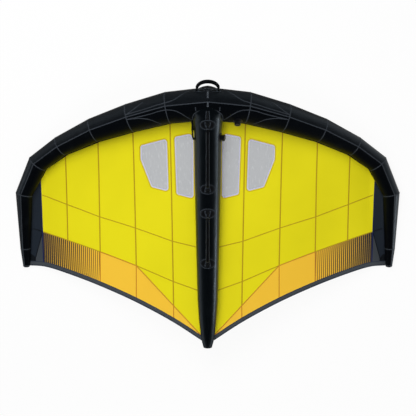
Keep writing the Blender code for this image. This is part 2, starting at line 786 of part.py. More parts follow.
def band_edge(corners, steps, drop):
    """The upper edge of the trailing band in plan, through the seams' ends."""
    places = []
    for start, end in zip(corners, corners[1:]):
        places += [start + (end - start) * (k / steps) for k in range(steps)]
    places.append(corners[-1])
    return [Vector((x, trailing_y(x) + BAND_WIDTH)) + drop for x in places]


def rounded_box(width, length, corner, steps=4):
    """An outline in plan with round corners."""
    points = []
    half = Vector((width / 2 - corner, length / 2 - corner))
    for quarter, (sx, sy) in enumerate(((1, 1), (-1, 1), (-1, -1), (1, -1))):
        for step in range(steps + 1):
            angle = (quarter + step / steps) * pi / 2
            offset = Vector((cos(angle), sin(angle))) * corner
            points.append(Vector((sx * half.x, sy * half.y)) + offset)
    return points


def ellipse(width, length, sides=24):
    """An oval outline in plan."""
    steps = [FULL_TURN * k / sides for k in range(sides)]
    return [Vector((cos(angle) * width / 2, sin(angle) * length / 2)) for angle in steps]


def pad_on(name, outline, frame, span, under, over, look, root, cutter=False):
    """Cloth that lies on a tube: a prism along a frame's Z, kept between two grown tubes."""
    rings = [[frame @ Vector((point.x, point.y, height)) for point in outline] for height in span]
    pad = loft(name, rings, look, root, cutter=cutter)
    boolean(pad, over, "INTERSECT")
    boolean(pad, under)
    return pad


def handle_ends(depths):
    """The two ends of a strut handle's hinge line, just clear of the webbing on the crest."""
    stack = PATCH_WALL + TAB_HEIGHT + GRIP_FOOT_RADIUS + 2 * SEAM_GAP
    places = [-depth for depth in depths]
    heights = [crest_z(y) for y in places]
    slope = (heights[1] - heights[0]) / (places[1] - places[0])
    foot = GRIP_END_LENGTH / 2 + GRIP_FOOT_RADIUS
    proud = 0.0
    for y in (places[0] + foot, places[0] - foot, places[1] + foot, places[1] - foot):
        proud = max(proud, crest_z(y) - (heights[0] + slope * (y - places[0])))
    return [Vector((0, y, z + stack + proud)) for y, z in zip(places, heights)]


def arc_points(centre, start, toward, steps):
    """Points of a quarter turn from one arm to the other about a centre."""
    angles = [pi / 2 * k / steps for k in range(steps + 1)]
    return [centre + start * cos(angle) + toward * sin(angle) for angle in angles]


def grip_line(length):
    """One staple-shaped line: a foot on the hinge, up through two bends, along, and back down."""
    rise = GRIP_CLEARANCE + GRIP_RADIUS
    along = Vector((1, 0, 0))
    foot = GRIP_END_LENGTH / 2
    small = GRIP_BEND / 2
    points = [-along * foot, along * foot / 4]
    points += arc_points(along * foot + UP * small, -UP * small, along * small, 3)[1:]
    corner = along * (foot + small + GRIP_BEND) + UP * (rise - GRIP_BEND)
    points += arc_points(corner, -along * GRIP_BEND, UP * GRIP_BEND, 4)[1:]
    foot_share = GRIP_FOOT_RADIUS / GRIP_RADIUS
    rising = len(points) - 2
    sizes = [foot_share, foot_share]
    sizes += [foot_share + (1 - foot_share) * (k + 1) / rising for k in range(rising)]
    points += [Vector((length - point.x, 0, point.z)) for point in reversed(points)]
    return points, sizes + sizes[::-1]


def make_strut_handle(label, depths, root, blocks):
    """A grip on its hinge line, and the patch with sewn webbing under each of its ends."""
    front, rear = handle_ends(depths)
    run = rear - front
    hinge = empty(f"{label}_handle_hinge", front, turn_to(UP, run), root)
    aim = run.normalized()
    lift = UP - aim * aim.z
    hinge.matrix_basis = Matrix.Translation(front) @ turn_to(lift, aim).to_4x4()
    points, sizes = grip_line(run.length)
    rod(f"{label}_handle_grip", points, GRIP_RADIUS, GRIP_FOAM, hinge, radii=sizes)
    for place_name, end in (("fore", front), ("aft", rear)):
        frame = Matrix.Translation(end)
        span = (strut_centre_z(end.y) - end.z, GRIP_RADIUS)
        oval_outline = ellipse(HANDLE_PATCH_WIDTH, HANDLE_PATCH_LENGTH)
        tab_outline = rounded_box(TAB_WIDTH, TAB_LENGTH, TAB_WIDTH / 3)
        name = f"{label}_handle_patch_{place_name}"
        under, over = blocks["patch_under"], blocks["patch_over"]
        patch = pad_on(name, oval_outline, frame, span, under, over, WEBBING, root)
        under, over = blocks["tab_under"], blocks["tab_over"]
        tab = pad_on(f"{name}_tab", tab_outline, frame, span, under, over, None, root, cutter=True)
        boolean(patch, tab, "UNION")


def skin_reach(radius, along, out, rise):
    """How far a faceted tube's skin lies from its axis, in a direction across the span."""
    off_facet = rise % FACET_ANGLE - FACET_ANGLE / 2
    flat = cos(FACET_ANGLE / 2) / cos(off_facet)
    return radius * flat / sqrt(1 - along.dot(out) ** 2)


def grab_arch(low, high, steps):
    """Points of the grab handle's arch between two angles."""
    points = []
    for k in range(steps + 1):
        angle = low + (high - low) * k / steps
        rise = GRAB_HEIGHT * abs(sin(angle)) ** GRAB_ARCH_POWER
        points.append(Vector((-GRAB_HALF_WIDTH * cos(angle), 0, rise)))
    return points


def make_grab_handle(root, blocks):
    """The loop at the front of the leading edge, its pad and the patch it is sewn to."""
    out = Vector((0, cos(GRAB_ANGLE), sin(GRAB_ANGLE)))
    share = GRAB_HALF_WIDTH / STATIONS[1].centre.x
    centre = MIDDLE.centre.lerp(STATIONS[1].centre, share)
    radius = MIDDLE.radius + (STATIONS[1].radius - MIDDLE.radius) * share
    along = (STATIONS[1].centre - MIDDLE.centre).normalized()
    lift = PATCH_WALL + GRAB_STRAP_RADIUS + 3 * SEAM_GAP
    foot = Vector((0, centre.y, centre.z)) + out * (skin_reach(radius, along, out, GRAB_ANGLE) + lift)
    turn = turn_to(out, Vector((1, 0, 0)))
    hinge = empty("leading_edge_handle_hinge", foot, turn, root)
    arch = grab_arch(0, pi, GRAB_STEPS)
    tips = [(arch[0], GRAB_STRAP_RADIUS * sin(angle), cos(angle)) for angle in FOOT_ANGLES]
    dips = [Vector((point.x, 0, -drop)) for point, drop, _ in tips]
    ends = [Vector((-point.x, 0, point.z)) for point in dips[::-1]]
    narrow = [size for _, _, size in tips]
    sizes = narrow + [1.0] * len(arch) + narrow[::-1]
    rod("leading_edge_handle_strap", dips + arch + ends, GRAB_STRAP_RADIUS, WEBBING, hinge, radii=sizes)
    pad = grab_arch(*GRAB_PAD_ANGLES, GRAB_PAD_STEPS)
    sleeve = rod("leading_edge_handle_pad", pad, GRAB_PAD_RADIUS, GRIP_FOAM, hinge)
    bore = rod("grab_bore", arch, GRAB_STRAP_RADIUS + SEAM_GAP, None, hinge, cutter=True)
    boolean(sleeve, bore)
    frame = Matrix.Translation(foot) @ turn.to_4x4()
    outline = rounded_box(GRAB_PATCH_WIDTH, GRAB_PATCH_LENGTH, GRAB_PATCH_LENGTH / 3)
    span = (-LEADING_RADIUS / 2, GRAB_STRAP_RADIUS)
    under, over = blocks["leading"], blocks["leading_patch"]
    pad_on("leading_edge_handle_patch", outline, frame, span, under, over, WEBBING, root)


def prisms(name, outlines, low, high, parent):
    """Several upright prisms in one mesh, to cut a repeated feature with."""
    verts = []
    faces = []
    for outline in outlines:
        first = len(verts)
        sides = len(outline)
        verts += [Vector((point.x, point.y, z)) for z in (low, high) for point in outline]
        faces += bridge_faces(2, sides, first)
        faces += [tuple(range(first, first + sides)), tuple(range(first + sides, first + 2 * sides))]
    return mesh_object(name, verts, faces, None, parent, cutter=True)


def polar(radius, angle):
    """A point in plan at a radius and an angle."""
    return Vector((radius * cos(angle), radius * sin(angle)))


def port_outlines():
    """The openings between the four ribs that carry the stem's guide."""
    span = FULL_TURN / PORTS
    outlines = []
    for k in range(PORTS):
        skew = HUB_RIB / 2 / SEAT_BORE
        first, last = k * span + skew, (k + 1) * span - skew
        rim = [polar(SEAT_BORE, first + (last - first) * n / 4) for n in range(5)]
        skew = HUB_RIB / 2 / HUB_RADIUS
        core = [polar(HUB_RADIUS, (k + 1) * span - skew), polar(HUB_RADIUS, k * span + skew)]
        outlines.append(rim + core)
    return outlines


def valve_base(label, seat, frame, under, over, root):
    """The flange that lies on the tube's skin, joined to the barrel and its ribbed seat."""
    outline = ellipse(2 * FLANGE_RADIUS, 2 * FLANGE_RADIUS)
    span = (-FLANGE_RADIUS, FLANGE_RADIUS)
    base = pad_on(f"{label}_base", outline, frame, span, under, over, BLACK_PLASTIC, root)
    middle = (BARREL_RADIUS + BARREL_BORE) / 2
    eye = [(0, BARREL_HEIGHT), (middle, BARREL_HEIGHT), (middle, -BARREL_DEPTH), (0, -BARREL_DEPTH)]
    boolean(base, turned(f"{label}_eye", eye, FITTING_SIDES, None, seat, cutter=True))
    guide = STEM_RADIUS + STEM_CLEARANCE
    section = [
        (guide, SEAT_HEIGHT), (BARREL_BORE, SEAT_HEIGHT), (BARREL_BORE, BARREL_HEIGHT),
        (BARREL_RADIUS, BARREL_HEIGHT), (BARREL_RADIUS, -BARREL_DEPTH), (BARREL_BORE, -BARREL_DEPTH),
        (BARREL_BORE, -SEAT_HEIGHT), (guide, -SEAT_HEIGHT),
    ]
    barrel = turned(f"{label}_barrel", section, FITTING_SIDES, None, seat, cutter=True)
    ports = prisms(f"{label}_ports", port_outlines(), -2 * SEAT_HEIGHT, 2 * SEAT_HEIGHT, seat)
    boolean(barrel, ports)
    boolean(base, barrel, "UNION")


def valve_plunger(label, seat):
    """The one-way disc under the seat, and the stem through its guide."""
    top = -SEAT_HEIGHT - SEAM_GAP
    section = [(0, STEM_HEIGHT), (STEM_RADIUS, STEM_HEIGHT), (STEM_RADIUS, top), (DISC_RADIUS, top)]
    section += [(DISC_RADIUS, top - DISC_HEIGHT), (0, top - DISC_HEIGHT)]
    turned(f"{label}_plunger", section, FITTING_SIDES, BLACK_PLASTIC, seat)


def valve_cap(label, seat):
    """The cap: a skirt over the barrel, a plug in its bore, and a fluted edge."""
    top = BARREL_HEIGHT + SEAM_GAP
    crown = top + CAP_WALL
    skirt = BARREL_RADIUS + 2 * SEAM_GAP
    plug = BARREL_BORE - 2 * SEAM_GAP
    hollow = plug - CAP_WALL
    rim = crown - CAP_HEIGHT
    section = [
        (0, crown), (CAP_RADIUS - CAP_WALL / 2, crown), (CAP_RADIUS, crown - CAP_WALL / 2),
        (CAP_RADIUS, rim), (skirt, rim), (skirt, top), (plug, top), (plug, top - CAP_WALL),
        (hollow, top - CAP_WALL), (hollow, top + CAP_WALL / 3), (0, top + CAP_WALL / 3),
    ]
    cap = turned(f"{label}_cap", section, FITTING_SIDES, BLACK_PLASTIC, seat)
    flutes = []
    for k in range(CAP_FLUTES):
        middle = polar(CAP_RADIUS + FLUTE_RADIUS / 2, FULL_TURN * k / CAP_FLUTES)
        flutes.append([middle + polar(FLUTE_RADIUS, FULL_TURN * n / 6) for n in range(6)])
    boolean(cap, prisms(f"{label}_flutes", flutes, rim - OVERRUN, crown + OVERRUN, seat))


def make_valve(label, spot, out, hint, under, over, walls, root):
    """A valve on a tube: its base, plunger and cap, and the hole for it in the tube's walls."""
    turn = turn_to(out, hint)
    seat = empty(f"{label}_seat", spot, turn, root)
    frame = Matrix.Translation(spot) @ turn.to_4x4()
    valve_base(label, seat, frame, under, over, root)
    valve_plunger(label, seat)
    valve_cap(label, seat)
    hole = BARREL_RADIUS + SEAM_GAP
    reach = BARREL_DEPTH + OVERRUN
    bore = [(0, reach), (hole, reach), (hole, -reach), (0, -reach)]
    drill = turned(f"{label}_drill", bore, FITTING_SIDES, None, seat, cutter=True)
    for wall in walls:
        boolean(PARTS.objects[wall], drill)


def leading_place(x, rise):
    """A place on the leading edge's rear skin near the middle, and the way it faces.

    The place lies a distance along the span, at an angle of rise above the axis.
    """
    second = STATIONS[1]
    share = abs(x) / second.centre.x
    centre = MIDDLE.centre.lerp(second.centre, share)
    radius = MIDDLE.radius + (second.radius - MIDDLE.radius) * share
    along = (second.centre - MIDDLE.centre).normalized()
    front = UP.cross(along).normalized()
    facing = along.cross(front) * sin(rise) - front * cos(rise)
    spot = centre + facing * radius
    sign = 1 if x > 0 else -1
    return mirrored([spot], sign)[0], mirrored([facing], sign)[0]


def strut_place(depth, rise, sign):
    """A place on the strut's side skin and the way it faces, at an angle above the axis."""
    spots = []
    for y in (-depth, -depth - OVERRUN):
        half = strut_radius(y)
        high = strut_centre_z(y) + half * STRUT_SQUASH_SHARE * sin(rise)
        spots.append(Vector((sign * half * cos(rise), y, high)))
    along = (spots[1] - spots[0]).normalized()
    round_way = Vector((-sign * sin(rise), 0, STRUT_SQUASH_SHARE * cos(rise))).normalized()
    facing = along.cross(round_way).normalized()
    return spots[0], facing if facing.x * sign > 0 else -facing


def make_link_hose(root):
    """The hose that carries air from the leading edge to the strut, and its pinch clip."""
    spot, out = leading_place(-HOSE_SPAN, HOSE_ANGLE)
    start = spot + out * COLLAR_GAP
    skin, side = strut_place(HOSE_STRUT_DEPTH, HOSE_STRUT_ANGLE, -1)
    end = skin + side * COLLAR_GAP
    knee = start + out * HOSE_REACH
    lead = end + side * HOSE_STRUT_REACH
    points = [start]
    arms = (start + out * HOSE_COLLAR_HEIGHT, knee, lead, end + side * HOSE_COLLAR_HEIGHT)
    for k in range(HOSE_STEPS + 1):
        t = k / HOSE_STEPS
        weights = ((1 - t) ** 3, 3 * t * (1 - t) ** 2, 3 * t * t * (1 - t), t ** 3)
        points.append(sum((arm * weight for arm, weight in zip(arms, weights)), Vector((0, 0, 0))))
    points.append(end)
    wide = HOSE_COLLAR_RADIUS / HOSE_RADIUS
    sizes = [wide, wide] + [1.0] * (len(points) - 4) + [wide, wide]
    rod("link_hose", points, HOSE_RADIUS, HOSE_RUBBER, root, radii=sizes)

    k = len(points) // 2 - 2
    return points[k], (points[k + 1] - points[k - 1]).normalized()


def box_rings(low, high):
    """Two rings of a box between its lowest and highest corners, to loft."""
    corners = [(low[0], low[1]), (high[0], low[1]), (high[0], high[1]), (low[0], high[1])]
    return [[Vector((x, y, z)) for x, y in corners] for z in (low[2], high[2])]


def cross_bore(name, centre, radius, reach, parent, look=None, cutter=True):
    """A round bar along Y through a place."""
    rings = []
    for y in (-reach, reach):
        angles = [FULL_TURN * k / CLIP_SIDES for k in range(CLIP_SIDES)]
        rings.append([centre + Vector((radius * cos(a), y, radius * sin(a))) for a in angles])
    return loft(name, rings, look, parent, cutter=cutter)


def make_hose_clip(middle, ahead, root):
    """The pinch clip on the hose: a body with two cheeks, and the lever pinned between them."""
    clip = empty("hose_clip_seat", middle, turn_to(ahead, UP), root)
    outer = HOSE_RADIUS + SEAM_GAP + CLIP_WALL
    knuckle = LEVER_PIN_RADIUS + LEVER_WALL / 2
    cheek_top = outer + PIN_CLEARANCE + 2 * knuckle
    half = CLIP_LENGTH / 2
    block = box_rings((-outer, -outer, -half), (cheek_top, outer, half))
    body = loft("hose_clip_body", block, BLACK_PLASTIC, clip)
    soften = body.modifiers.new("round", "BEVEL")
    soften.width = CLIP_WALL / 4
    soften.segments = 2
    hollow = HOSE_RADIUS + SEAM_GAP
    bore = [(0, CLIP_LENGTH), (hollow, CLIP_LENGTH), (hollow, -CLIP_LENGTH), (0, -CLIP_LENGTH)]
    boolean(body, turned("clip_bore", bore, CLIP_SIDES, None, clip, cutter=True))
    gap_half = outer - CLIP_WALL / 2
    slot = box_rings((outer, -gap_half, -CLIP_LENGTH), (cheek_top + CLIP_WALL, gap_half, CLIP_LENGTH))
    boolean(body, loft("clip_slot", slot, None, clip, cutter=True))
    pivot = Vector((outer + PIN_CLEARANCE + knuckle, 0, half - knuckle))
    hole = LEVER_PIN_RADIUS + PIN_CLEARANCE
    boolean(body, cross_bore("clip_pin_hole", pivot, hole, 2 * outer, clip))

    hinge = empty("hose_clip_hinge", pivot, Matrix.Identity(3), clip)
    wide = gap_half - PIN_CLEARANCE
    top = knuckle - PIN_CLEARANCE / 2
    arm = box_rings((top - LEVER_WALL, -wide, -LEVER_LENGTH), (top, wide, 0))
    lever = loft("hose_clip_lever", arm, BLACK_PLASTIC, hinge)
    centre = Vector((0, 0, 0))
    boolean(lever, cross_bore("lever_knuckle", centre, top, wide, hinge), "UNION")
    boolean(lever, cross_bore("lever_pin", centre, LEVER_PIN_RADIUS, outer, hinge), "UNION")


def make_blocks(root):
    """The grown copies of the tubes that trim what lies on them."""
    patch_top = SEAM_GAP + PATCH_WALL
    tab_low = SEAM_GAP + PATCH_WALL / 2
    flange_top = SEAM_GAP + FLANGE_WALL
    return {
        "leading": leading_block("leading_clearance", SEAM_GAP, root),
        "leading_patch": leading_block("leading_patch_skin", patch_top, root),
        "leading_flange": leading_block("leading_flange_skin", flange_top, root),
        "patch_under": strut_block("strut_clearance", SEAM_GAP, root),
        "patch_over": strut_block("strut_patch_skin", patch_top, root),
        "tab_under": strut_block("strut_tab_clearance", tab_low, root),
        "tab_over": strut_block("strut_tab_skin", patch_top + TAB_HEIGHT, root),
        "strut_flange": strut_block("strut_flange_skin", flange_top, root),
    }


def reach_of(name):
    """The rearmost and foremost places that a piece reaches."""
    bpy.context.view_layer.update()
    piece = PARTS.objects[name].evaluated_get(bpy.context.evaluated_depsgraph_get())
    places = [(piece.matrix_world @ vertex.co).y for vertex in piece.data.vertices]
    return min(places), max(places)


def centre_on_box(root):
    """Move the wing so that its box is centred between the grab handle and the strut's tail."""
    front = reach_of("leading_edge_handle_pad")[1]
    rear = reach_of("strut_tail")[0]
    root.location.y = -(front + rear) / 2
    bpy.context.view_layer.update()


def main():
    """Build the wing and say where its joints lie."""
    root = empty("wing_origin", Vector((0, 0, 0)), Matrix.Identity(3), None)
    blocks = make_blocks(root)
    make_airframe(root)
    make_strut(root, blocks)
    make_canopy(root)
    make_strut_handle("front", FRONT_HANDLE_DEPTHS, root, blocks)
    make_strut_handle("rear", REAR_HANDLE_DEPTHS, root, blocks)
    make_grab_handle(root, blocks)
    spot, out = leading_place(VALVE_SPAN, VALVE_ANGLE)
    make_valve(
        "inflation_valve", spot, out, Vector((1, 0, 0)),
        blocks["leading"], blocks["leading_flange"],
        ("leading_edge_panel_right_1", "leading_edge_bladder"), root,
    )
    spot, out = strut_place(STRUT_VALVE_DEPTH, STRUT_VALVE_ANGLE, 1)
    make_valve(
        "strut_valve", spot, out, Vector((0, 1, 0)),
        blocks["patch_under"], blocks["strut_flange"], ("strut_sleeve", "strut_bladder"), root,
    )
    middle, ahead = make_link_hose(root)
    make_hose_clip(middle, ahead, root)
    centre_on_box(root)
    for item in PARTS.objects:
        if item.type == "EMPTY":
            rows = [[round(value, 5) for value in row] for row in item.matrix_world]
            print("joint frame", item.name, rows[:3])


main()
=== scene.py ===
"""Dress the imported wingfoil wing: cloth, seams, handles, valves, hose and a plain studio.

Metres, +Z up, +X along the span and +Y forward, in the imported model's own frame.
"""

import json
import logging
from dataclasses import dataclass, field
from enum import Enum
from functools import cached_property
from math import acos, atan2, cos, exp, pi, radians, sin, sqrt, tan
from typing import Callable, Sequence

import bmesh
import bpy
from mathutils import Matrix, Vector, noise
from mathutils.geometry import delaunay_2d_cdt


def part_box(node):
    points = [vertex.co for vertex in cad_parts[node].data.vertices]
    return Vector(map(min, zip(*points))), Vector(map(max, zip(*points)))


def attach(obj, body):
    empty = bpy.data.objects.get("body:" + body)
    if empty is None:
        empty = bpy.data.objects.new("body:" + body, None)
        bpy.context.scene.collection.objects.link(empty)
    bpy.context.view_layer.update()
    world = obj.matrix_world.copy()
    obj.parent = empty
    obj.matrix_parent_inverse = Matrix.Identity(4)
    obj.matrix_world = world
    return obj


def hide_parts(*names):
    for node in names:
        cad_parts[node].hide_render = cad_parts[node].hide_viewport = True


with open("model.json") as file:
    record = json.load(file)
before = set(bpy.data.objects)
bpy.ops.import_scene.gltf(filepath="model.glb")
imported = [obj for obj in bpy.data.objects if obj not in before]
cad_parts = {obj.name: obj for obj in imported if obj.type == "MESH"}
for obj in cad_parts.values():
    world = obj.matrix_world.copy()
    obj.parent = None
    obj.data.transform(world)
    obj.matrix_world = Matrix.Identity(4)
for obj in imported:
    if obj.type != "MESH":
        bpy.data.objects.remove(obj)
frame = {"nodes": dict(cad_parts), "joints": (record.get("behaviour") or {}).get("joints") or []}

LOG = logging.getLogger("wing")
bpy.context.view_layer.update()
UP = Vector((0.0, 0.0, 1.0))
FULL_TURN = 2 * pi
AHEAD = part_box("strut_tail")[0].y + 1.966
STRUT_VALVE = Vector((0.09834, 0.62101, 0.37485))

Pair = tuple[float, float]
Colour = tuple[float, float, float]


def share_of(value: float, low: float, high: float) -> float:
    """Say how far a value lies from low to high, as a share."""
    return (value - low) / (high - low)


def held(value: float, low: float = 0.0, high: float = 1.0) -> float:
    """Keep a value between two limits."""
    return min(max(value, low), high)


def eased(value: float, low: float, high: float) -> float:
    """Rise smoothly from 0 at low to 1 at high."""
    t = held(share_of(value, low, high))
    return t * t * (3 - 2 * t)


def on_line(places: Sequence[float], values: Sequence[float], at: float) -> float:
    """Read a broken line of values at a place.

    Args:
        places: Where the values stand, rising.
        values: The value at each place.
        at: The place to read, held to the line's ends.

    Returns:
        The value there.
    """
    if at <= places[0]:
        return values[0]
    for k in range(len(places) - 1):
        if at <= places[k + 1]:
            return values[k] + (values[k + 1] - values[k]) * share_of(at, places[k], places[k + 1])
    return values[-1]


def on_curve(places: Sequence[float], values: Sequence[float], at: float) -> float:
    """Read a smooth curve through the values at a place.

    Args:
        places: Where the values stand, rising.
        values: The value at each place.
        at: The place to read.

    Returns:
        The value there.
    """
    slopes = []
    for k in range(len(places)):
        low, high = max(k - 1, 0), min(k + 1, len(places) - 1)
        slopes.append((values[high] - values[low]) / (places[high] - places[low]))
    k = max(n for n in range(len(places) - 1) if n == 0 or places[n] <= at)
    step = places[k + 1] - places[k]
    t = (at - places[k]) / step
    start = (1 + 2 * t) * (1 - t) ** 2 * values[k] + t * (1 - t) ** 2 * step * slopes[k]
    return start + t * t * (3 - 2 * t) * values[k + 1] + t * t * (t - 1) * step * slopes[k + 1]


def linear(red: int, green: int, blue: int) -> Colour:
    """Turn a display colour of 0 to 255 into the linear one that a shader takes."""
    shares = (red / 255, green / 255, blue / 255)
    return tuple(c / 12.92 if c <= 0.04045 else ((c + 0.055) / 1.055) ** 2.4 for c in shares)


# Shader maths and nodes


class Signal:
    """A socket that takes part in Python arithmetic by adding Math nodes."""

    def __init__(self, bench: "Bench", socket: bpy.types.NodeSocket) -> None:
        """Wrap a socket of a bench's tree."""
        self.bench = bench
        self.socket = socket

    def _with(self, operation: str, *values: "Signal | float") -> "Signal":
        """Add one Math node that works on these values in turn."""
        return self.bench.node("ShaderNodeMath", {"operation": operation}, dict(enumerate(values)))

    def __add__(self, other: "Signal | float") -> "Signal":
        """Add a value."""
        return self._with("ADD", self, other)

    def __radd__(self, other: float) -> "Signal":
        """Add to a value."""
        return self._with("ADD", other, self)

    def __sub__(self, other: "Signal | float") -> "Signal":
        """Take a value away."""
        return self._with("SUBTRACT", self, other)

    def __rsub__(self, other: float) -> "Signal":
        """Take this away from a value."""
        return self._with("SUBTRACT", other, self)

    def __mul__(self, other: "Signal | float") -> "Signal":
        """Multiply by a value."""
        return self._with("MULTIPLY", self, other)

    def __rmul__(self, other: float) -> "Signal":
        """Multiply a value by this."""
        return self._with("MULTIPLY", other, self)

    def __truediv__(self, other: "Signal | float") -> "Signal":
        """Divide by a value."""
        return self._with("DIVIDE", self, other)

    def __abs__(self) -> "Signal":
        """Drop the sign."""
        return self._with("ABSOLUTE", self)

    def fraction(self) -> "Signal":
        """Keep what is past the whole number."""
        return self._with("FRACT", self)

    def below(self, limit: "Signal | float") -> "Signal":
        """Give 1 under a limit and 0 over it."""
        return self._with("LESS_THAN", self, limit)

    def largest(self, other: "Signal | float") -> "Signal":
        """Give the larger of two values."""
        return self._with("MAXIMUM", self, other)

    def wave(self) -> "Signal":
        """Give the sine of this angle."""
        return self._with("SINE", self)

    def eased(self, low: float, high: float) -> "Signal":
        """Rise smoothly from 0 at low to 1 at high."""
        kind = {"interpolation_type": "SMOOTHSTEP"}
        return self.bench.node("ShaderNodeMapRange", kind, {"Value": self, "From Min": low, "From Max": high})


class Bench:
    """Makes the nodes of one material or world."""

    def __init__(self, owner: bpy.types.Material | bpy.types.World) -> None:
        """Empty the owner's tree and work in it.

        Args:
            owner: The material or world whose tree is emptied.
        """
        owner.use_nodes = True
        self.tree = owner.node_tree
        self.tree.nodes.clear()

    def node(self, kind: str, settings: dict, sockets: dict, out: int | str = 0) -> Signal:
        """Add a node, set it up, then fill or link its sockets.

        Args:
            kind: The node's type.
            settings: Its settings, with a colour ramp's stops under "stops".
            sockets: Values or signals by socket name or number.
            out: The output that the caller wants.

        Returns:
            That output.
        """
        made = self.tree.nodes.new(kind)
        for key, value in settings.items():
            if key == "stops":
                ramp = made.color_ramp
                ramp.elements.remove(ramp.elements[1])
                for k, (place, colour) in enumerate(value):
                    stop = ramp.elements[0] if k == 0 else ramp.elements.new(place)
                    stop.position = place
                    stop.color = (*colour, 1.0)
            else:
                setattr(made, key, value)
        for key, value in sockets.items():
            if isinstance(value, Signal):
                self.tree.links.new(value.socket, made.inputs[key])
            elif isinstance(value, tuple) and len(value) == 3 and len(made.inputs[key].default_value) == 4:
                made.inputs[key].default_value = (*value, 1.0)
            else:
                made.inputs[key].default_value = value
        return Signal(self, made.outputs[out])

    def place(self, uv: str = "", world: bool = False) -> tuple[Signal, Signal, Signal, Signal]:
        """Give a vector and its parts: Object coordinates, a named UV map's, or the sky's direction.

        Args:
            uv: The UV map's name, or nothing.
            world: Whether the sky's direction is wanted.

        Returns:
            The vector, and its three parts.
        """
        if uv:
            spot = self.node("ShaderNodeUVMap", {"uv_map": uv}, {})
        else:
            spot = self.node("ShaderNodeTexCoord", {}, {}, "Generated" if world else "Object")
        parts = [self.node("ShaderNodeSeparateXYZ", {}, {"Vector": spot}, k) for k in range(3)]
        return spot, *parts

    def ray(self, kind: str) -> Signal:
        """Give 1 for the rays of a kind, such as Is Camera Ray, and 0 for others."""
        return self.node("ShaderNodeLightPath", {}, {}, kind)

    def speckle(self, spot: Signal, scale: float, detail: float = 3.0) -> Signal:
        """Give a noise of 0 to 1 at a scale in features per metre."""
        return self.node("ShaderNodeTexNoise", {}, {"Vector": spot, "Scale": scale, "Detail": detail})

    def stretched(self, spot: Signal, scale: Colour) -> Signal:
        """Scale a vector by its three parts."""
        settings = {"operation": "MULTIPLY"}
        return self.node("ShaderNodeVectorMath", settings, {0: spot, 1: scale})

    def mixed(self, first: "Signal | Colour", second: "Signal | Colour", share: "Signal | float") -> Signal:
        """Mix two colours."""
        sockets = {"Factor": share, 6: first, 7: second}
        return self.node("ShaderNodeMix", {"data_type": "RGBA"}, sockets, 2)

    def bumped(self, height: Signal, distance: float, strength: float = 1.0) -> Signal:
        """Turn a height of 0 to 1 into a normal, with the distance in metres."""
        return self.node("ShaderNodeBump", {}, {"Height": height, "Distance": distance, "Strength": strength})

    def close(self, **values: "Signal | float | Colour") -> None:
        """Finish with a Principled shader whose sockets take these values, by their names."""
        special = {"ior": "IOR", "specular": "Specular IOR Level"}
        names = {special.get(key, key.replace("_", " ").title()): value for key, value in values.items()}
        self.node_out(self.node("ShaderNodeBsdfPrincipled", {}, names))

    def node_out(self, shader: Signal) -> None:
        """Link a shader to the material's output."""
        made = self.tree.nodes.new("ShaderNodeOutputMaterial")
        self.tree.links.new(shader.socket, made.inputs["Surface"])


@dataclass(frozen=True)
class Finish:
    """What a surface is made of: a name, a record slot and a base colour."""

    name: str
    slot: str
    colour: Colour
    roughness: float = 0.5

    @property
    def material(self) -> bpy.types.Material:
        """The Blender material of this finish, made once.

        Returns:
            The material.
        """
        found = bpy.data.materials.get(self.name)
        if found:
            return found
        made = bpy.data.materials.new(self.name)
        self.paint(Bench(made))
        return made

    def paint(self, bench: Bench) -> None:
        """Build the material's nodes."""
        raise NotImplementedError


@dataclass(frozen=True)
class Sailcloth(Finish):
    """Light ripstop of the canopy, with its grid, its creases and the dye's slight changes."""

    grid: float = 0.0065
    thread_share: float = 0.14
    crease: float = 0.0011
    crease_scale: float = 9.0
    patch_scale: float = 1.7
    shade: Colour = (0.0, 0.0, 0.0)
    shade_share: float = 0.16
    thread_shade: float = 0.07

    def grain(self, bench: Bench) -> tuple[Signal, Signal, Signal]:
        """Give the ripstop's thread lines, the creases and the patches of shade.

        Args:
            bench: The material's bench.

        Returns:
            The lines, the creases and the patches, each of 0 to 1.
        """
        spot, x, y, _ = bench.place()
        along, across = ((part / self.grid).fraction().below(self.thread_share) for part in (x, y))
        lines = along.largest(across)
        creases = bench.speckle(bench.stretched(spot, (1.0, 0.45, 1.0)), self.crease_scale, 4.0)
        patches = bench.speckle(spot, self.patch_scale, 2.0)
        return lines, creases, patches

    def dye(self, bench: Bench) -> "Signal | Colour":
        """Give the cloth's colour before its grain."""
        return self.colour

    def paint(self, bench: Bench) -> None:
        """Build the cloth: colour with its grid and shade, and a normal from creases and threads.

        Args:
            bench: The material's bench.
        """
        lines, creases, patches = self.grain(bench)
        deeper = bench.mixed(self.dye(bench), self.shade, patches.eased(0.35, 0.85) * self.shade_share)
        threaded = bench.mixed(deeper, self.shade, lines * self.thread_shade)
        rough = self.roughness + (patches - 0.5) * 0.12 + lines * 0.05
        folds = bench.bumped(creases, self.crease)
        relief = bench.node("ShaderNodeBump", {}, {"Height": lines, "Distance": 0.00012, "Normal": folds})
        bench.close(base_color=threaded, roughness=rough, normal=relief, specular=0.12)


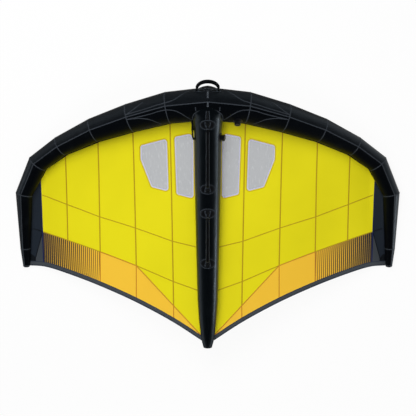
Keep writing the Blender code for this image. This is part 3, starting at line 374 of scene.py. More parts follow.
@dataclass(frozen=True)
class StripedCloth(Sailcloth):
    """Sailcloth with dark stripes along the chord, that thin out inboard."""

    stripe: Colour = linear(36, 42, 48)
    pitch: float = 0.0165
    lean: float = 0.025
    inner: float = 0.880
    outer: float = 1.352
    pivot: float = 1.2
    thin: float = 0.27
    growth: float = 0.68
    soft: float = 0.12

    def dye(self, bench: Bench) -> "Signal | Colour":
        """Give amber crossed by the stripes.

        Args:
            bench: The material's bench.

        Returns:
            The colour.
        """
        _, x, y, _ = bench.place()
        across = abs(x) - (y - AHEAD + self.pivot) * self.lean
        width = self.thin + self.growth * (across - self.inner) / (self.outer - self.inner)
        phase = ((across - self.inner) / self.pitch).fraction()
        off_middle = abs(phase - 0.5) * 2.0
        dark = 1.0 - (off_middle - width).eased(-self.soft, self.soft)
        return bench.mixed(self.colour, self.stripe, dark)


@dataclass(frozen=True)
class SleeveCloth(Finish):
    """Heavy woven polyester of the inflated tubes, read along and around the tube."""

    specular: float = 0.3
    dusty: float = 0.02
    weave_pitch: float = 0.0016
    crease: float = 0.0014
    crease_scale: Colour = (14.0, 40.0, 1.0)
    tint: Colour = (0.68, 0.85, 1.0)
    dust: Colour = linear(96, 106, 118)

    def paint(self, bench: Bench) -> None:
        """Build the cloth: a fine plain weave, faint rubbing and long creases.

        Args:
            bench: The material's bench.
        """
        spot, u, v, _ = bench.place("cloth")
        warp, weft = ((part * (FULL_TURN / self.weave_pitch)).wave() for part in (u, v))
        weave = warp * weft * 0.5 + 0.5
        solid, _, _, _ = bench.place()
        creases = bench.speckle(bench.stretched(spot, self.crease_scale), 1.0, 3.0)
        rubbed = bench.speckle(solid, 7.0, 5.0).eased(0.55, 0.85)
        tone = bench.mixed(self.colour, self.dust, (rubbed + weave * 0.5) * self.dusty)
        rough = self.roughness + rubbed * 0.10 - weave * 0.04
        folds = bench.bumped(creases, self.crease)
        relief = bench.node("ShaderNodeBump", {}, {"Height": weave, "Distance": 0.00008, "Normal": folds})
        bench.close(base_color=tone, roughness=rough, normal=relief, specular=self.specular,
                    specular_tint=self.tint)


@dataclass(frozen=True)
class SewnTape(Finish):
    """Seam tape with two rows of stitches, read along and across the tape."""

    thread: Colour = linear(120, 126, 134)
    row: float = 0.0035
    stitch: float = 0.0042
    stitch_share: float = 0.72
    thread_half: float = 0.0005
    rib: float = 0.0012
    gloss: float = 0.2

    def paint(self, bench: Bench) -> None:
        """Build the tape: a ribbed face and the thread's two rows.

        Args:
            bench: The material's bench.
        """
        _, u, v, _ = bench.place("cloth")
        ribs = (u * (FULL_TURN / self.rib)).wave() * 0.5 + 0.5
        near_row = (abs(abs(v) - self.row)).below(self.thread_half)
        on_stitch = (u / self.stitch).fraction().below(self.stitch_share)
        thread = near_row * on_stitch
        tone = bench.mixed(self.colour, self.thread, thread)
        rough = self.roughness + ribs * 0.06 + thread * 0.1
        height = ribs * 0.25 + thread * 0.75
        bench.close(base_color=tone, roughness=rough, normal=bench.bumped(height, 0.0003),
                    specular=self.gloss)


@dataclass(frozen=True)
class ClearFilm(Finish):
    """Flexible clear film, slightly milky, with soft waves in it."""

    alpha: float = 0.5
    wave_height: float = 0.0012

    def paint(self, bench: Bench) -> None:
        """Build the film: see-through, glossy, and less even where it is scuffed.

        Args:
            bench: The material's bench.
        """
        spot, _, _, _ = bench.place()
        scuffs = bench.speckle(bench.stretched(spot, (1.0, 0.3, 1.0)), 60.0, 5.0).eased(0.5, 0.8)
        waves = bench.speckle(spot, 11.0, 2.0)
        tone = bench.mixed(self.colour, (0.9, 0.9, 0.92), scuffs * 0.25)
        cover = self.alpha + scuffs * 0.12
        rough = self.roughness + scuffs * 0.2
        bench.close(base_color=tone, roughness=rough, alpha=cover, ior=1.46,
                    normal=bench.bumped(waves, self.wave_height))


@dataclass(frozen=True)
class Webbing(Finish):
    """Woven polyester webbing, ribbed across its length."""

    rib: float = 0.0019

    def paint(self, bench: Bench) -> None:
        """Build the webbing: ribs, a herringbone shift and worn high threads.

        Args:
            bench: The material's bench.
        """
        spot, _, _, _ = bench.place()
        _, u, v, _ = bench.place("cloth")
        slant = u + abs((v / 0.012).fraction() - 0.5) * 0.006
        ribs = (slant * (FULL_TURN / self.rib)).wave() * 0.5 + 0.5
        fuzz = bench.speckle(spot, 900.0, 2.0)
        worn = bench.speckle(spot, 45.0, 3.0).eased(0.5, 0.8)
        tone = bench.mixed(self.colour, linear(62, 67, 74), ribs * (0.10 + worn * 0.18))
        rough = self.roughness - ribs * 0.08 + fuzz * 0.06
        height = ribs * 0.8 + fuzz * 0.2
        bench.close(base_color=tone, roughness=rough, normal=bench.bumped(height, 0.0004), specular=0.2)


@dataclass(frozen=True)
class Foam(Finish):
    """Closed-cell foam sleeve with a fine pebbled skin."""

    def paint(self, bench: Bench) -> None:
        """Build the foam: pebbles, and paler polished places where hands rub.

        Args:
            bench: The material's bench.
        """
        spot, _, _, _ = bench.place()
        pebbles = bench.node("ShaderNodeTexVoronoi", {}, {"Vector": spot, "Scale": 520.0})
        rubbed = bench.speckle(spot, 24.0, 3.0).eased(0.45, 0.8)
        tone = bench.mixed(self.colour, linear(30, 33, 38), rubbed * 0.3)
        rough = self.roughness - rubbed * 0.14
        bench.close(base_color=tone, roughness=rough, normal=bench.bumped(pebbles, 0.0003), specular=0.1)


@dataclass(frozen=True)
class Moulded(Finish):
    """Injection-moulded plastic or moulded rubber with a fine spark-eroded texture."""

    bite: float = 0.00012

    def paint(self, bench: Bench) -> None:
        """Build the moulding: fine texture, and handling marks that shine.

        Args:
            bench: The material's bench.
        """
        spot, _, _, _ = bench.place()
        texture = bench.speckle(spot, 1600.0, 2.0)
        marks = bench.speckle(spot, 70.0, 4.0).eased(0.55, 0.75)
        tone = bench.mixed(self.colour, linear(52, 56, 62), marks * 0.16)
        rough = self.roughness + texture * 0.08 - marks * 0.12
        bench.close(base_color=tone, roughness=rough, normal=bench.bumped(texture, self.bite))


class Finishes:
    """Every finish of the wing, by what wears it."""

    outer_sleeve = SleeveCloth("outer_sleeve_cloth", "black_cloth", linear(8, 10, 13), 0.40, specular=0.42,
                               dusty=0.03)
    inner_sleeve = SleeveCloth("inner_sleeve_cloth", "black_cloth", linear(2, 3, 5), 0.5, specular=0.1)
    strut_sleeve = SleeveCloth("strut_sleeve_cloth", "black_cloth", linear(2, 4, 6), 0.32, specular=0.6)
    bladder = ClearFilm("clear_bladder_film", "bladder_film", (0.72, 0.74, 0.76), 0.3, alpha=0.8)
    yellow = Sailcloth("yellow_canopy_cloth", "yellow_cloth", linear(224, 213, 22), 0.5,
                       shade=linear(170, 158, 10))
    amber = Sailcloth("amber_canopy_cloth", "amber_cloth", linear(238, 190, 56), 0.5,
                      shade=linear(204, 150, 34))
    striped = StripedCloth("striped_canopy_cloth", "striped_cloth", linear(236, 184, 52), 0.5,
                           shade=linear(180, 128, 30))
    navy = Sailcloth("navy_canopy_cloth", "navy_cloth", linear(34, 41, 50), 0.5, shade=linear(16, 20, 25))
    band = Sailcloth("trailing_band_cloth", "navy_cloth", linear(66, 71, 76), 0.5, shade=linear(38, 42, 47))
    # Painted highlight: a paler grey triangle of the tip panel beside the tip seam, where a fold of the cloth
    # catches the light
    painted_tip_highlight = Sailcloth("painted_tip_highlight_cloth", "navy_cloth", linear(64, 69, 74), 0.5, shade=linear(36, 40, 45))
    corner = Sailcloth("tip_corner_cloth", "navy_cloth", linear(20, 24, 28), 0.5, shade=linear(10, 12, 15))
    window = ClearFilm("clear_film", "window_film", linear(172, 175, 179), 0.2, alpha=0.55)
    tube_tape = SewnTape("tube_seam_tape", "black_cloth", linear(43, 48, 54), 0.55, thread=linear(64, 70, 77),
                         row=0.0024)
    bright_tape = SewnTape("centre_seam_tape", "black_cloth", linear(46, 51, 57), 0.55)
    yellow_tape = SewnTape("yellow_seam_tape", "yellow_cloth", linear(178, 148, 20), 0.55,
                           thread=linear(146, 120, 18))
    amber_tape = SewnTape("amber_seam_tape", "amber_cloth", linear(196, 130, 36), 0.55,
                          thread=linear(150, 96, 30))
    indigo_tape = SewnTape("indigo_edge_tape", "navy_cloth", linear(20, 28, 70), 0.5,
                           thread=linear(46, 52, 92))
    navy_tape = SewnTape("navy_seam_tape", "navy_cloth", linear(13, 16, 21), 0.5, thread=linear(34, 39, 46))
    band_tape = SewnTape("band_hem_tape", "navy_cloth", linear(46, 53, 66), 0.5, thread=linear(30, 36, 44))
    welt = SewnTape("canopy_attach_cloth", "black_cloth", linear(10, 12, 15), 0.6, thread=linear(34, 38, 44))
    rim = SewnTape("window_rim_tape", "window_film", linear(194, 194, 222), 0.4, thread=linear(160, 160, 190))
    gold = SewnTape("window_gold_stitch", "yellow_cloth", linear(196, 168, 16), 0.5,
                    thread=linear(150, 124, 16))
    webbing = Webbing("black_webbing", "webbing", linear(6, 8, 10), 0.7)
    pale_webbing = Webbing("grey_webbing", "webbing", linear(44, 50, 57), 0.65)
    patch = SewnTape("reinforcement_patch", "webbing", linear(6, 8, 11), 0.5, thread=linear(40, 46, 53))
    patch_edge = SewnTape("patch_edge_tape", "webbing", linear(44, 50, 57), 0.5, thread=linear(74, 82, 90),
                          row=0.0)
    bumper = SewnTape("padded_patch_cloth", "webbing", linear(12, 15, 19), 0.30, row=0.0, gloss=0.8)
    # Pale grey: on the strut grips its two side ridges are painted highlights along the grip's edges; it also
    # gives the grip cuffs and the grab handle's seam their pale piping
    piping_and_painted_highlight = SewnTape("grip_piping_and_painted_highlight", "webbing", linear(66, 73, 80), 0.5, row=0.0)
    foam = Foam("pebbled_foam", "grip_foam", linear(5, 6, 8), 0.6)
    plastic = Moulded("black_moulded_plastic", "black_plastic", linear(10, 11, 13), 0.34)
    rubber = Moulded("matt_rubber", "hose_rubber", linear(12, 13, 16), 0.45, bite=0.0002)


# Meshes


class Draft:
    """A mesh in the making: corners, faces, and a place on the cloth for each face corner."""

    def __init__(self) -> None:
        """Start with nothing."""
        self.verts: list[Vector] = []
        self.faces: list[tuple[int, ...]] = []
        self.spots: list[list[Pair]] = []
        self.looks: list[int] = []

    def grid(self, rows: list[list[Vector]], spots: list[list[Pair]], looks: Sequence[int] | int = 0,
             around: bool = True) -> None:
        """Add quads between rows of points.

        Args:
            rows: The points, row by row, each row of the same length.
            spots: Cloth places, with one more in each row than there are points if it closes.
            looks: The finish's number of each column, or of all of them.
            around: Whether each row closes on itself.
        """
        first = len(self.verts)
        wide = len(rows[0])
        self.verts += [point for row in rows for point in row]
        columns = wide if around else wide - 1
        for i in range(len(rows) - 1):
            for j in range(columns):
                k = (j + 1) % wide
                near, far = first + i * wide, first + (i + 1) * wide
                self.faces.append((near + j, near + k, far + k, far + j))
                self.spots.append([spots[i][j], spots[i][j + 1], spots[i + 1][j + 1], spots[i + 1][j]])
                self.looks.append(looks if isinstance(looks, int) else looks[j])

    def cap(self, ring: list[Vector], centre: Vector, look: int = 0) -> None:
        """Close a ring of points with a fan about a centre.

        Args:
            ring: The ring's points.
            centre: The fan's middle.
            look: The number of its finish.
        """
        first = len(self.verts)
        self.verts += [*ring, centre]
        last = first + len(ring)
        for j in range(len(ring)):
            k = (j + 1) % len(ring)
            self.faces.append((first + j, first + k, last))
            self.spots.append([(p.x, p.y) for p in (ring[j], ring[k], centre)])
            self.looks.append(look)

    def close_ends(self, rows: list[list[Vector]], look: int = 0) -> None:
        """Close the first and the last row, each about its own middle."""
        for row in (rows[0], rows[-1]):
            self.cap(row, sum(row, Vector()) / len(row), look)

    def piece(self, name: str, *finishes: Finish, crease: float = 40.0, weld: float = 0.00002,
              outward: bool = True) -> bpy.types.Object:
        """Make the object.

        Args:
            name: The piece's name.
            finishes: The finishes that the faces' numbers stand for.
            crease: The angle in degrees past which an edge stays sharp.
            weld: The distance under which corners become one.
            outward: Whether the faces are turned outward.

        Returns:
            The object, linked to the scene.
        """
        mesh = bpy.data.meshes.new(name)
        mesh.from_pydata([tuple(v) for v in self.verts], [], self.faces)
        layer = mesh.uv_layers.new(name="cloth")
        flat = [value for face in self.spots for spot in face for value in spot]
        layer.data.foreach_set("uv", flat)
        mesh.polygons.foreach_set("material_index", self.looks)
        mesh.polygons.foreach_set("use_smooth", [True] * len(self.faces))
        shaper = bmesh.new()
        shaper.from_mesh(mesh)
        bmesh.ops.remove_doubles(shaper, verts=shaper.verts, dist=weld)
        if outward:
            bmesh.ops.recalc_face_normals(shaper, faces=shaper.faces)
        shaper.to_mesh(mesh)
        shaper.free()
        mesh.set_sharp_from_angle(angle=radians(crease))
        for each in finishes:
            mesh.materials.append(each.material)
        made = bpy.data.objects.new(name, mesh)
        bpy.context.scene.collection.objects.link(made)
        return made


def dress(piece: bpy.types.Object, body: str, finish: Finish, *nodes: str) -> bpy.types.Object:
    """Make a piece ride on a body and stand for some CAD nodes, which it hides.

    Args:
        piece: The finished piece.
        body: The body that carries it.
        finish: Not used.
        nodes: The CAD nodes that it replaces.

    Returns:
        The same piece.
    """
    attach(piece, body)
    if nodes:
        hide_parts(*nodes)
    LOG.info("%s: %d faces on %s", piece.name, len(piece.data.polygons), body)
    return piece


# The surfaces that pieces lie on


class Skin:
    """A surface that is read at two numbers, u and v."""

    step_u = 1e-4
    step_v = 1e-4
    facing = 1.0
    rim_share = 0.985

    def point(self, u: float, v: float) -> Vector:
        """Give the surface's point."""
        raise NotImplementedError

    def local(self, u: float, v: float) -> tuple[Vector, Vector, Vector, Vector]:
        """Give the point, the way out of the surface, and how far a unit of u and of v reach.

        Args:
            u: The surface's first number.
            v: Its second number.

        Returns:
            The point, the way out, and the reach of a unit of u and of v.
        """
        along = (self.point(u + self.step_u, v) - self.point(u - self.step_u, v)) / (2 * self.step_u)
        across = (self.point(u, v + self.step_v) - self.point(u, v - self.step_v)) / (2 * self.step_v)
        return self.point(u, v), along.cross(across).normalized() * self.facing, along, across

    def lifted(self, u: float, v: float, height: float) -> Vector:
        """Give a point at a height over the surface."""
        spot, out, _, _ = self.local(u, v)
        return spot + out * height

    def find(self, spot: Vector, u: float, v: float) -> Pair:
        """Give the u and v of the place nearest a point, starting from a guess.

        Args:
            spot: The point.
            u: A guess of u.
            v: A guess of v.

        Returns:
            The u and v found.
        """
        for _ in range(8):
            here, _, along, across = self.local(u, v)
            off = spot - here
            u += off.dot(along) / along.length_squared
            v += off.dot(across) / across.length_squared
        return u, v

    def tape(self, draft: Draft, line: Sequence[Pair], width: float, height: float,
             look: int = 0, sink: float = 0.0004, side: float = 1.0) -> None:
        """Lay a strip of cloth along a line on the surface.

        Args:
            draft: The mesh that takes the strip.
            line: The strip's middle, as pairs of u and v.
            width: Its width.
            height: How far its face stands over the surface.
            look: The number of its finish.
            sink: How far its edge goes under the surface.
            side: 1 to lie on the outer side and -1 on the inner one.
        """
        section = ((-0.5, -sink), (-0.5, 0.6 * height), (-0.44, height), (0.0, 1.05 * height),
                   (0.44, height), (0.5, 0.6 * height), (0.5, -sink))
        rows, spots = [], []
        run = 0.0
        before = None
        for k, (u, v) in enumerate(line):
            low, high = line[max(k - 1, 0)], line[min(k + 1, len(line) - 1)]
            here, _, along, across = self.local(u, v)
            reach_u, reach_v = along.length, across.length
            way = Vector(((high[0] - low[0]) * reach_u, (high[1] - low[1]) * reach_v)).normalized()
            run += (here - before).length if before else 0.0
            before = here
            row = []
            for off, rise in section:
                across_u = -way.y * off * width / reach_u
                across_v = way.x * off * width / reach_v
                row.append(self.lifted(u + across_u, v + across_v, rise * side))
            rows.append(row)
            spots.append([(run, off * width) for off, _ in section] + [(run, -0.5 * width)])
        draft.grid(rows, spots, look)
        draft.close_ends(rows, look)

    def pad(self, draft: Draft, middle: Pair, outline: Sequence[Pair], height: float,
            look: int = 0, turn: float = 0.0, sink: float = 0.0004, rings: int = 5,
            crown: float = 0.0) -> None:
        """Lay a flat piece with an outline in metres about a place on the surface.

        Args:
            draft: The mesh that takes the piece.
            middle: The place, as u and v.
            outline: The outline in metres along u and v.
            height: How far its face stands over the surface.
            look: The number of its finish.
            turn: How far the outline is turned, in radians.
            sink: How far its edge goes under the surface.
            rings: How many rings of faces cover it.
            crown: How much higher its middle stands.
        """
        _, _, along, across = self.local(*middle)
        c, s = cos(turn), sin(turn)
        turned = [(p * c - q * s, p * s + q * c) for p, q in outline]
        levels = [(1.0, -sink), (1.0, 0.6 * height), (self.rim_share, height)]
        for k in range(1, rings):
            share = self.rim_share * (1 - k / rings)
            levels.append((share, height + crown * (1 - share ** 2)))
        rows, spots = [], []
        for share, rise in levels:
            flat = [(p * share, q * share) for p, q in turned]
            rows.append([self.lifted(middle[0] + p / along.length, middle[1] + q / across.length, rise)
                         for p, q in flat])
            edge = 0.0 if share > 0.99 else (1 - share) * 0.5 * min(abs(p) + abs(q) for p, q in turned)
            spots.append([(k * 0.005, edge) for k in range(len(flat) + 1)])
        draft.grid(rows, spots, look)
        draft.cap(rows[-1], self.lifted(*middle, height + crown), look)


@dataclass(frozen=True)
class Station:
    """One ring corner of the leading edge and the frame of its mitre."""

    centre: Vector
    radius: float
    along: Vector
    stretch: float

    @cached_property
    def out(self) -> Vector:
        """The way forward and outboard, in plan."""
        return UP.cross(self.along).normalized()

    @cached_property
    def up(self) -> Vector:
        """The way up, square to the tube."""
        return self.along.cross(self.out)

    def point(self, angle: float, radius: float, shift: float = 0.0) -> Vector:
        """Give the point at an angle round the mitre, from outboard, over the top."""
        across = self.out * (self.stretch * cos(angle)) + self.up * sin(angle)
        return self.centre + across * radius + self.along * shift


@dataclass(frozen=True)
class TubeSkin(Skin):
    """The leading edge: u counts stations from the middle, v is the angle round the tube."""

    half_span: float = 1.504
    sweep: float = 1.3551
    dihedral: float = 0.270
    dihedral_power: float = 1.5
    radius: float = 0.1325
    corner: int = 5
    spans: tuple[float, ...] = (0.0, 0.2094, 0.4120, 0.6085, 0.7920, 0.9226, 1.0, 1.0006, 0.9989)
    sweeps: tuple[float, ...] = (0.0, 0.0223, 0.0844, 0.1598, 0.2594, 0.3691, 0.5560, 0.8927, 1.0)
    radii: tuple[float, ...] = (1.0, 0.9464, 0.8687, 0.7449, 0.6204, 0.6098, 0.5162, 0.3185, 0.2128)
    attach_angle: float = radians(216)
    attach_gap: float = 0.0005
    dome: float = 0.45
    dome_power: float = 0.6
    facing = -1.0

    @cached_property
    def tip(self) -> int:
        """The number of the last station."""
        return len(self.spans) - 1

    @cached_property
    def stations(self) -> list[Station]:
        """The right half's stations, with the tip's rails on the ground.

        Returns:
            The stations, from the middle to the tip.
        """
        radii = [self.radius * share for share in self.radii]
        reach = self.spans[self.corner]
        lift = [1 - (share / reach) ** self.dihedral_power for share in self.spans[:self.corner]]
        leans = [1.0] * len(radii)
        made: list[Station] = []
        for _ in range(3):
            rails = [radius * lean for radius, lean in zip(radii[self.corner:], leans[self.corner:])]
            heights = [rails[0] + self.dihedral * share for share in lift] + rails
            places = zip(self.spans, self.sweeps, heights)
            centres = [Vector((self.half_span * x, -self.sweep * y, z)) for x, y, z in places]
            runs = [(b - a).normalized() for a, b in zip(centres, centres[1:])]
            befores = [Vector((runs[0].x, -runs[0].y, -runs[0].z)), *runs]
            afters = [*runs, runs[-1]]
            made = []
            for centre, radius, before, after in zip(centres, radii, befores, afters):
                bend = atan2(before.y, before.x) - atan2(after.y, after.x)
                made.append(Station(centre, radius, (before + after).normalized(), 1 / cos(bend / 2)))
            leans = [station.up.z for station in made]
        return made

    def near(self, u: float, v: float, lift: float = 0.0) -> Vector:
        """Give the point in the leading edge's own coordinates, u from the middle outward.

        Args:
            u: The place along the tube, in stations from the middle.
            v: The angle round it.
            lift: How far the point stands over the skin.

        Returns:
            The point, with Y from the leading edge's axis.
        """
        k = min(int(u), self.tip)
        first = self.stations[k]
        if k >= self.tip:
            turn = min(u - self.tip, 0.999) * pi / 2
            radius = first.radius + lift
            return first.point(v, radius * cos(turn) ** self.dome_power, self.dome * radius * sin(turn))
        second = self.stations[k + 1]
        return first.point(v, first.radius + lift).lerp(second.point(v, second.radius + lift), u - k)

    def point(self, u: float, v: float, lift: float = 0.0) -> Vector:
        """Give the skin's point at a place along both halves and an angle."""
        spot = self.near(abs(u), v, lift)
        return Vector((-spot.x if u < 0 else spot.x, spot.y + AHEAD, spot.z))

    @cached_property
    def attach(self) -> list[Vector]:
        """Where the canopy meets each station, in the leading edge's own coordinates."""
        return [s.point(self.attach_angle, s.radius + self.attach_gap) for s in self.stations]

    def crown_z(self, x: float, y: float) -> float:
        """Give the height of the tube's top near the middle, at a place in plan.

        Args:
            x: The place along the span.
            y: The place along the chord.

        Returns:
            The height.
        """
        first, second = self.stations[0], self.stations[1]
        share = abs(x) / second.centre.x
        centre = first.centre.lerp(second.centre, share)
        radius = first.radius + (second.radius - first.radius) * share
        return centre.z + sqrt(max(radius ** 2 - (y - centre.y) ** 2, 0.0))

    def cleared(self, spot: Vector, gap: float) -> Vector:
        """Move a point near the middle out of the tube, to a gap over its skin.

        Args:
            spot: The point.
            gap: The gap over the skin.

        Returns:
            The point, moved out if it was too near.
        """
        first, second = self.stations[0], self.stations[1]
        share = held(abs(spot.x) / second.centre.x)
        centre = first.centre.lerp(second.centre, share)
        radius = first.radius + (second.radius - first.radius) * share + gap
        off = Vector((0.0, spot.y - centre.y, spot.z - centre.z))
        if off.length >= radius:
            return spot
        return Vector((spot.x, centre.y, centre.z)) + off.normalized() * radius


@dataclass(frozen=True)
class CanopySkin(Skin):
    """The canopy: u and v are X and Y in plan, from the leading edge's axis."""

    tube: TubeSkin
    depth: float = 1.940
    trailing_height: float = 0.330
    height_power: float = 1.4
    camber_depth: float = 0.055
    camber_peak: float = 0.35
    billow: float = 0.0045
    ripple: float = 0.0012
    ripple_pitch: float = 0.041
    drift: float = 0.0012
    band: float = 0.036
    seam_starts: tuple[float, ...] = (0.015, 0.022, 0.015, 0.013)
    yellow_point: float = 0.047
    trailing_spans: tuple[float, ...] = (0.0, 0.1842, 0.3869, 0.5850, 0.7646, 0.8936, 0.9887)
    trailing_depths: tuple[float, ...] = (1.0045, 0.9141, 0.8345, 0.7722, 0.7262, 0.7012, 0.6995)
    seam_spans: tuple[float, ...] = (0.1842, 0.3869, 0.5850, 0.7646)
    yellow_ends: tuple[float, ...] = (0.8449, 0.6814, 0.6284, 0.5840)
    tip_spans: tuple[float, ...] = (0.8723, 0.9142, 0.9070, 0.9028)
    tip_depths: tuple[float, ...] = (0.2783, 0.3284, 0.5526, 0.6830)

    @cached_property
    def trailing_x(self) -> list[float]:
        """Where the trailing edge's measured places stand along the span."""
        return [self.tube.half_span * share for share in self.trailing_spans]

    def trailing_y(self, x: float) -> float:
        """Give the trailing edge's place at a span."""
        return on_curve(self.trailing_x, [-self.depth * share for share in self.trailing_depths], abs(x))

    def camber(self, share: float) -> float:
        """Give the hollow of a chord, nothing at its ends and one at its deepest.

        Args:
            share: How far along the chord the place lies.

        Returns:
            The hollow's share.
        """
        peak, share = self.camber_peak, held(share)
        if share < peak:
            return (2 * peak * share - share ** 2) / peak ** 2
        return (1 - 2 * peak + 2 * peak * share - share ** 2) / (1 - peak) ** 2

    @cached_property
    def fronts(self) -> tuple[list[float], list[float], list[float]]:
        """The front edge's X, Y and Z at each station."""
        return tuple([point[k] for point in self.tube.attach] for k in range(3))

    def smooth_z(self, x: float, y: float) -> float:
        """Give the height of the canopy's middle surface, with no billow in it.

        Args:
            x: The place along the span.
            y: The place along the chord.

        Returns:
            The height.
        """
        x = abs(x)
        spans, ys, zs = self.fronts
        front_y, front_z = on_line(spans, ys, x), on_line(spans, zs, x)
        tip = self.tube.attach[-1]
        share = held(share_of(y, front_y, self.trailing_y(min(x, self.trailing_x[-1]))))
        depth = self.camber_depth * (1 - (x / tip.x) ** 2)
        rear = self.trailing_height + (tip.z - self.trailing_height) * min(x / tip.x, 1) ** self.height_power
        return front_z + (rear - front_z) * share - depth * self.camber(share)

    @cached_property
    def seams(self) -> list[tuple[Vector, Vector, Vector]]:
        """Each chordwise seam of the right half: its front, where yellow ends, and its rear.

        Returns:
            The three places in plan of each seam.
        """
        made = []
        for k, span in enumerate(self.seam_spans):
            x = self.tube.half_span * span
            front = Vector(self.tube.attach[k + 1].xy)
            front.x += self.seam_starts[k]
            front.y = on_line(self.fronts[0], self.fronts[1], front.x)
            made.append((front, Vector((x, -self.depth * self.yellow_ends[k])), Vector((x, self.band_y(x)))))
        return made

    def band_y(self, x: float) -> float:
        """Give the upper edge of the band along the trailing edge."""
        return self.trailing_y(x) + self.band

    def seam_x(self, k: int, y: float) -> float:
        """Give a chordwise seam's span at a place along it; seam 0 is the middle.

        Args:
            k: The seam's number.
            y: The place along the chord.

        Returns:
            The span there.
        """
        if k == 0:
            return 0.0
        front, end, _ = self.seams[k - 1]
        return front.x + (end.x - front.x) * held(share_of(y, front.y, end.y))

    @cached_property
    def tip_seam(self) -> list[Vector]:
        """The seam between the yellow columns and the tip panel, front to rear.

        Returns:
            The seam's four corners in plan.
        """
        corners = [Vector((self.tube.half_span * x, -self.depth * y))
                   for x, y in zip(self.tip_spans, self.tip_depths)]
        near, far = (Vector(self.tube.attach[k].xy) for k in (4, 5))
        corners[0] = near + (far - near) * share_of(corners[0].x, near.x, far.x)
        corners[3].y = self.band_y(corners[3].x)
        return corners

    @cached_property
    def rail_end(self) -> Vector:
        """Where the rail's inner line meets the band's upper edge.

        Returns:
            The place in plan.
        """
        start, end = (Vector(self.tube.attach[k].xy) for k in (-2, -1))
        spot = end
        for _ in range(4):
            level = self.band_y(min(spot.x, self.trailing_x[-1]))
            spot = start + (end - start) * share_of(level, start.y, end.y)
        return spot

    def puff(self, x: float, y: float) -> float:
        """Give how far the cloth hangs between its seams, and its small ripples by the tube.

        Args:
            x: The place along the span.
            y: The place along the chord.

        Returns:
            The height to add to the smooth surface.
        """
        x = abs(x)
        spans, ys, _ = self.fronts
        lines = [self.seam_x(k, y) for k in range(5)] + [self.tip_line(y), spans[-1]]
        k = max(n for n in range(len(lines) - 1) if n == 0 or lines[n] <= x)
        across = held(share_of(x, lines[k], lines[k + 1]) if lines[k + 1] > lines[k] else 0.0)
        front = on_line(spans, ys, x)
        along = held(share_of(y, front, self.trailing_y(min(x, self.trailing_x[-1]))))
        hang = self.billow * sin(pi * across) * min(4 * along, 1.0) * min(6 * (1 - along), 1.0)
        ripple = self.ripple * sin(FULL_TURN * x / self.ripple_pitch + 3 * noise.noise(Vector((x * 6, 0, 0))))
        fade = exp(-abs(front - y) / 0.07) * min(abs(front - y) / 0.02, 1.0)
        drift = self.drift * noise.noise(Vector((x * 3.1, y * 2.3, 1.7)))
        drift = drift * min(5 * along, 1) * min(8 * (1 - along), 1)
        return ripple * fade * sin(pi * across) + drift * sin(pi * across) - hang

    def tip_line(self, y: float) -> float:
        """Give the tip seam's span at a place along it."""
        corners = self.tip_seam
        return on_line([-p.y for p in corners], [p.x for p in corners], -y)

    def point(self, u: float, v: float) -> Vector:
        """Give the canopy's point over a place in plan."""
        return Vector((u, v + AHEAD, self.smooth_z(u, v) + self.puff(u, v)))


@dataclass(frozen=True)
class StrutSkin(Skin):
    """The centre strut: u is the depth behind the leading edge's axis, v the angle from the right."""

    tube: TubeSkin
    canopy: CanopySkin
    length: float = 1.974
    radius: float = 0.1045
    broad: float = 1.06
    flare: float = 0.085
    flare_run: Pair = (0.11, 0.27)
    squash: float = 0.94
    join: float = 0.130
    bulge: float = 0.004
    lift: float = 0.0015
    keel_gap: float = 0.0009
    tube_gap: float = 0.0004
    first_angle: float = radians(14)
    depths: tuple[float, ...] = (0.0661, 0.1033, 0.2, 0.32, 0.4476, 0.57, 0.69, 0.7986, 0.88, 0.9456,
                                 0.972, 0.9959, 0.999, 1.0)
    shares: tuple[float, ...] = (1.0, 0.9809, 0.96, 0.928, 0.89, 0.842, 0.789, 0.7321, 0.635, 0.5024,
                                 0.42, 0.3062, 0.22, 0.08)
    facing = -1.0

    def half_width(self, u: float) -> float:
        """Give the strut's half width at a depth."""
        places = [self.length * share for share in self.depths]
        return on_line(places, [self.radius * share for share in self.shares], u)

    def breadth(self, u: float) -> float:
        """Give how much wider than round the strut is: most where it saddles over the leading edge."""
        return self.broad + self.flare * (1 - eased(u, *self.flare_run))

    def keel(self, u: float) -> float:
        """Give the height of the strut's underside, just over the canopy."""
        return self.canopy.smooth_z(0.0, -u) + self.keel_gap

    def centre_z(self, u: float) -> float:
        """Give the height of the strut's axis."""
        return self.keel(u) + self.half_width(u) * self.squash

    def crest(self, u: float) -> float:
        """Give the height of the strut's top line behind the nose."""
        return self.centre_z(u) + self.half_width(u) * self.squash

    @cached_property
    def front(self) -> float:
        """The depth at which the nose begins."""
        return self.join - self.half_width(self.join) * cos(self.first_angle)

    def point(self, u: float, v: float) -> Vector:
        """Give the strut's point at a depth and an angle.

        Args:
            u: The depth behind the leading edge's axis.
            v: The angle from the right.

        Returns:
            The point.
        """
        if u >= self.join:
            half = self.half_width(u)
            height = self.centre_z(u) + half * self.squash * sin(v)
            return Vector((half * self.breadth(u) * cos(v), AHEAD - u, height))
        full = self.half_width(self.join)
        turn = acos(held((self.join - u) / full))
        half = full * sin(turn)
        share = held(share_of(u, self.front, self.join))
        start = self.tube.crown_z(0.0, -self.front) + self.lift
        top = start + (self.crest(self.join) - start) * share + self.bulge * sin(pi * share)
        x = half * self.breadth(u) * cos(v)
        blend = eased(share, 0.35, 1.0)
        base = self.tube.crown_z(x, -u) * (1 - blend) + self.centre_z(self.join) * blend
        rise = top - (self.tube.crown_z(0.0, -u) * (1 - blend) + self.centre_z(self.join) * blend)
        if sin(v) >= 0:
            spot = Vector((x, -u, base + rise * sin(v)))
        else:
            spot = Vector((x, -u, base + full * self.squash * sin(v)))
        spot = self.tube.cleared(spot, self.tube_gap)
        return Vector((spot.x, spot.y + AHEAD, spot.z))


# Sub-assemblies


def both_halves(half: list[float]) -> list[float]:
    """Give the places from tip to tip, from those of the right half, which start at the middle."""
    return [-u for u in half[:0:-1]] + half


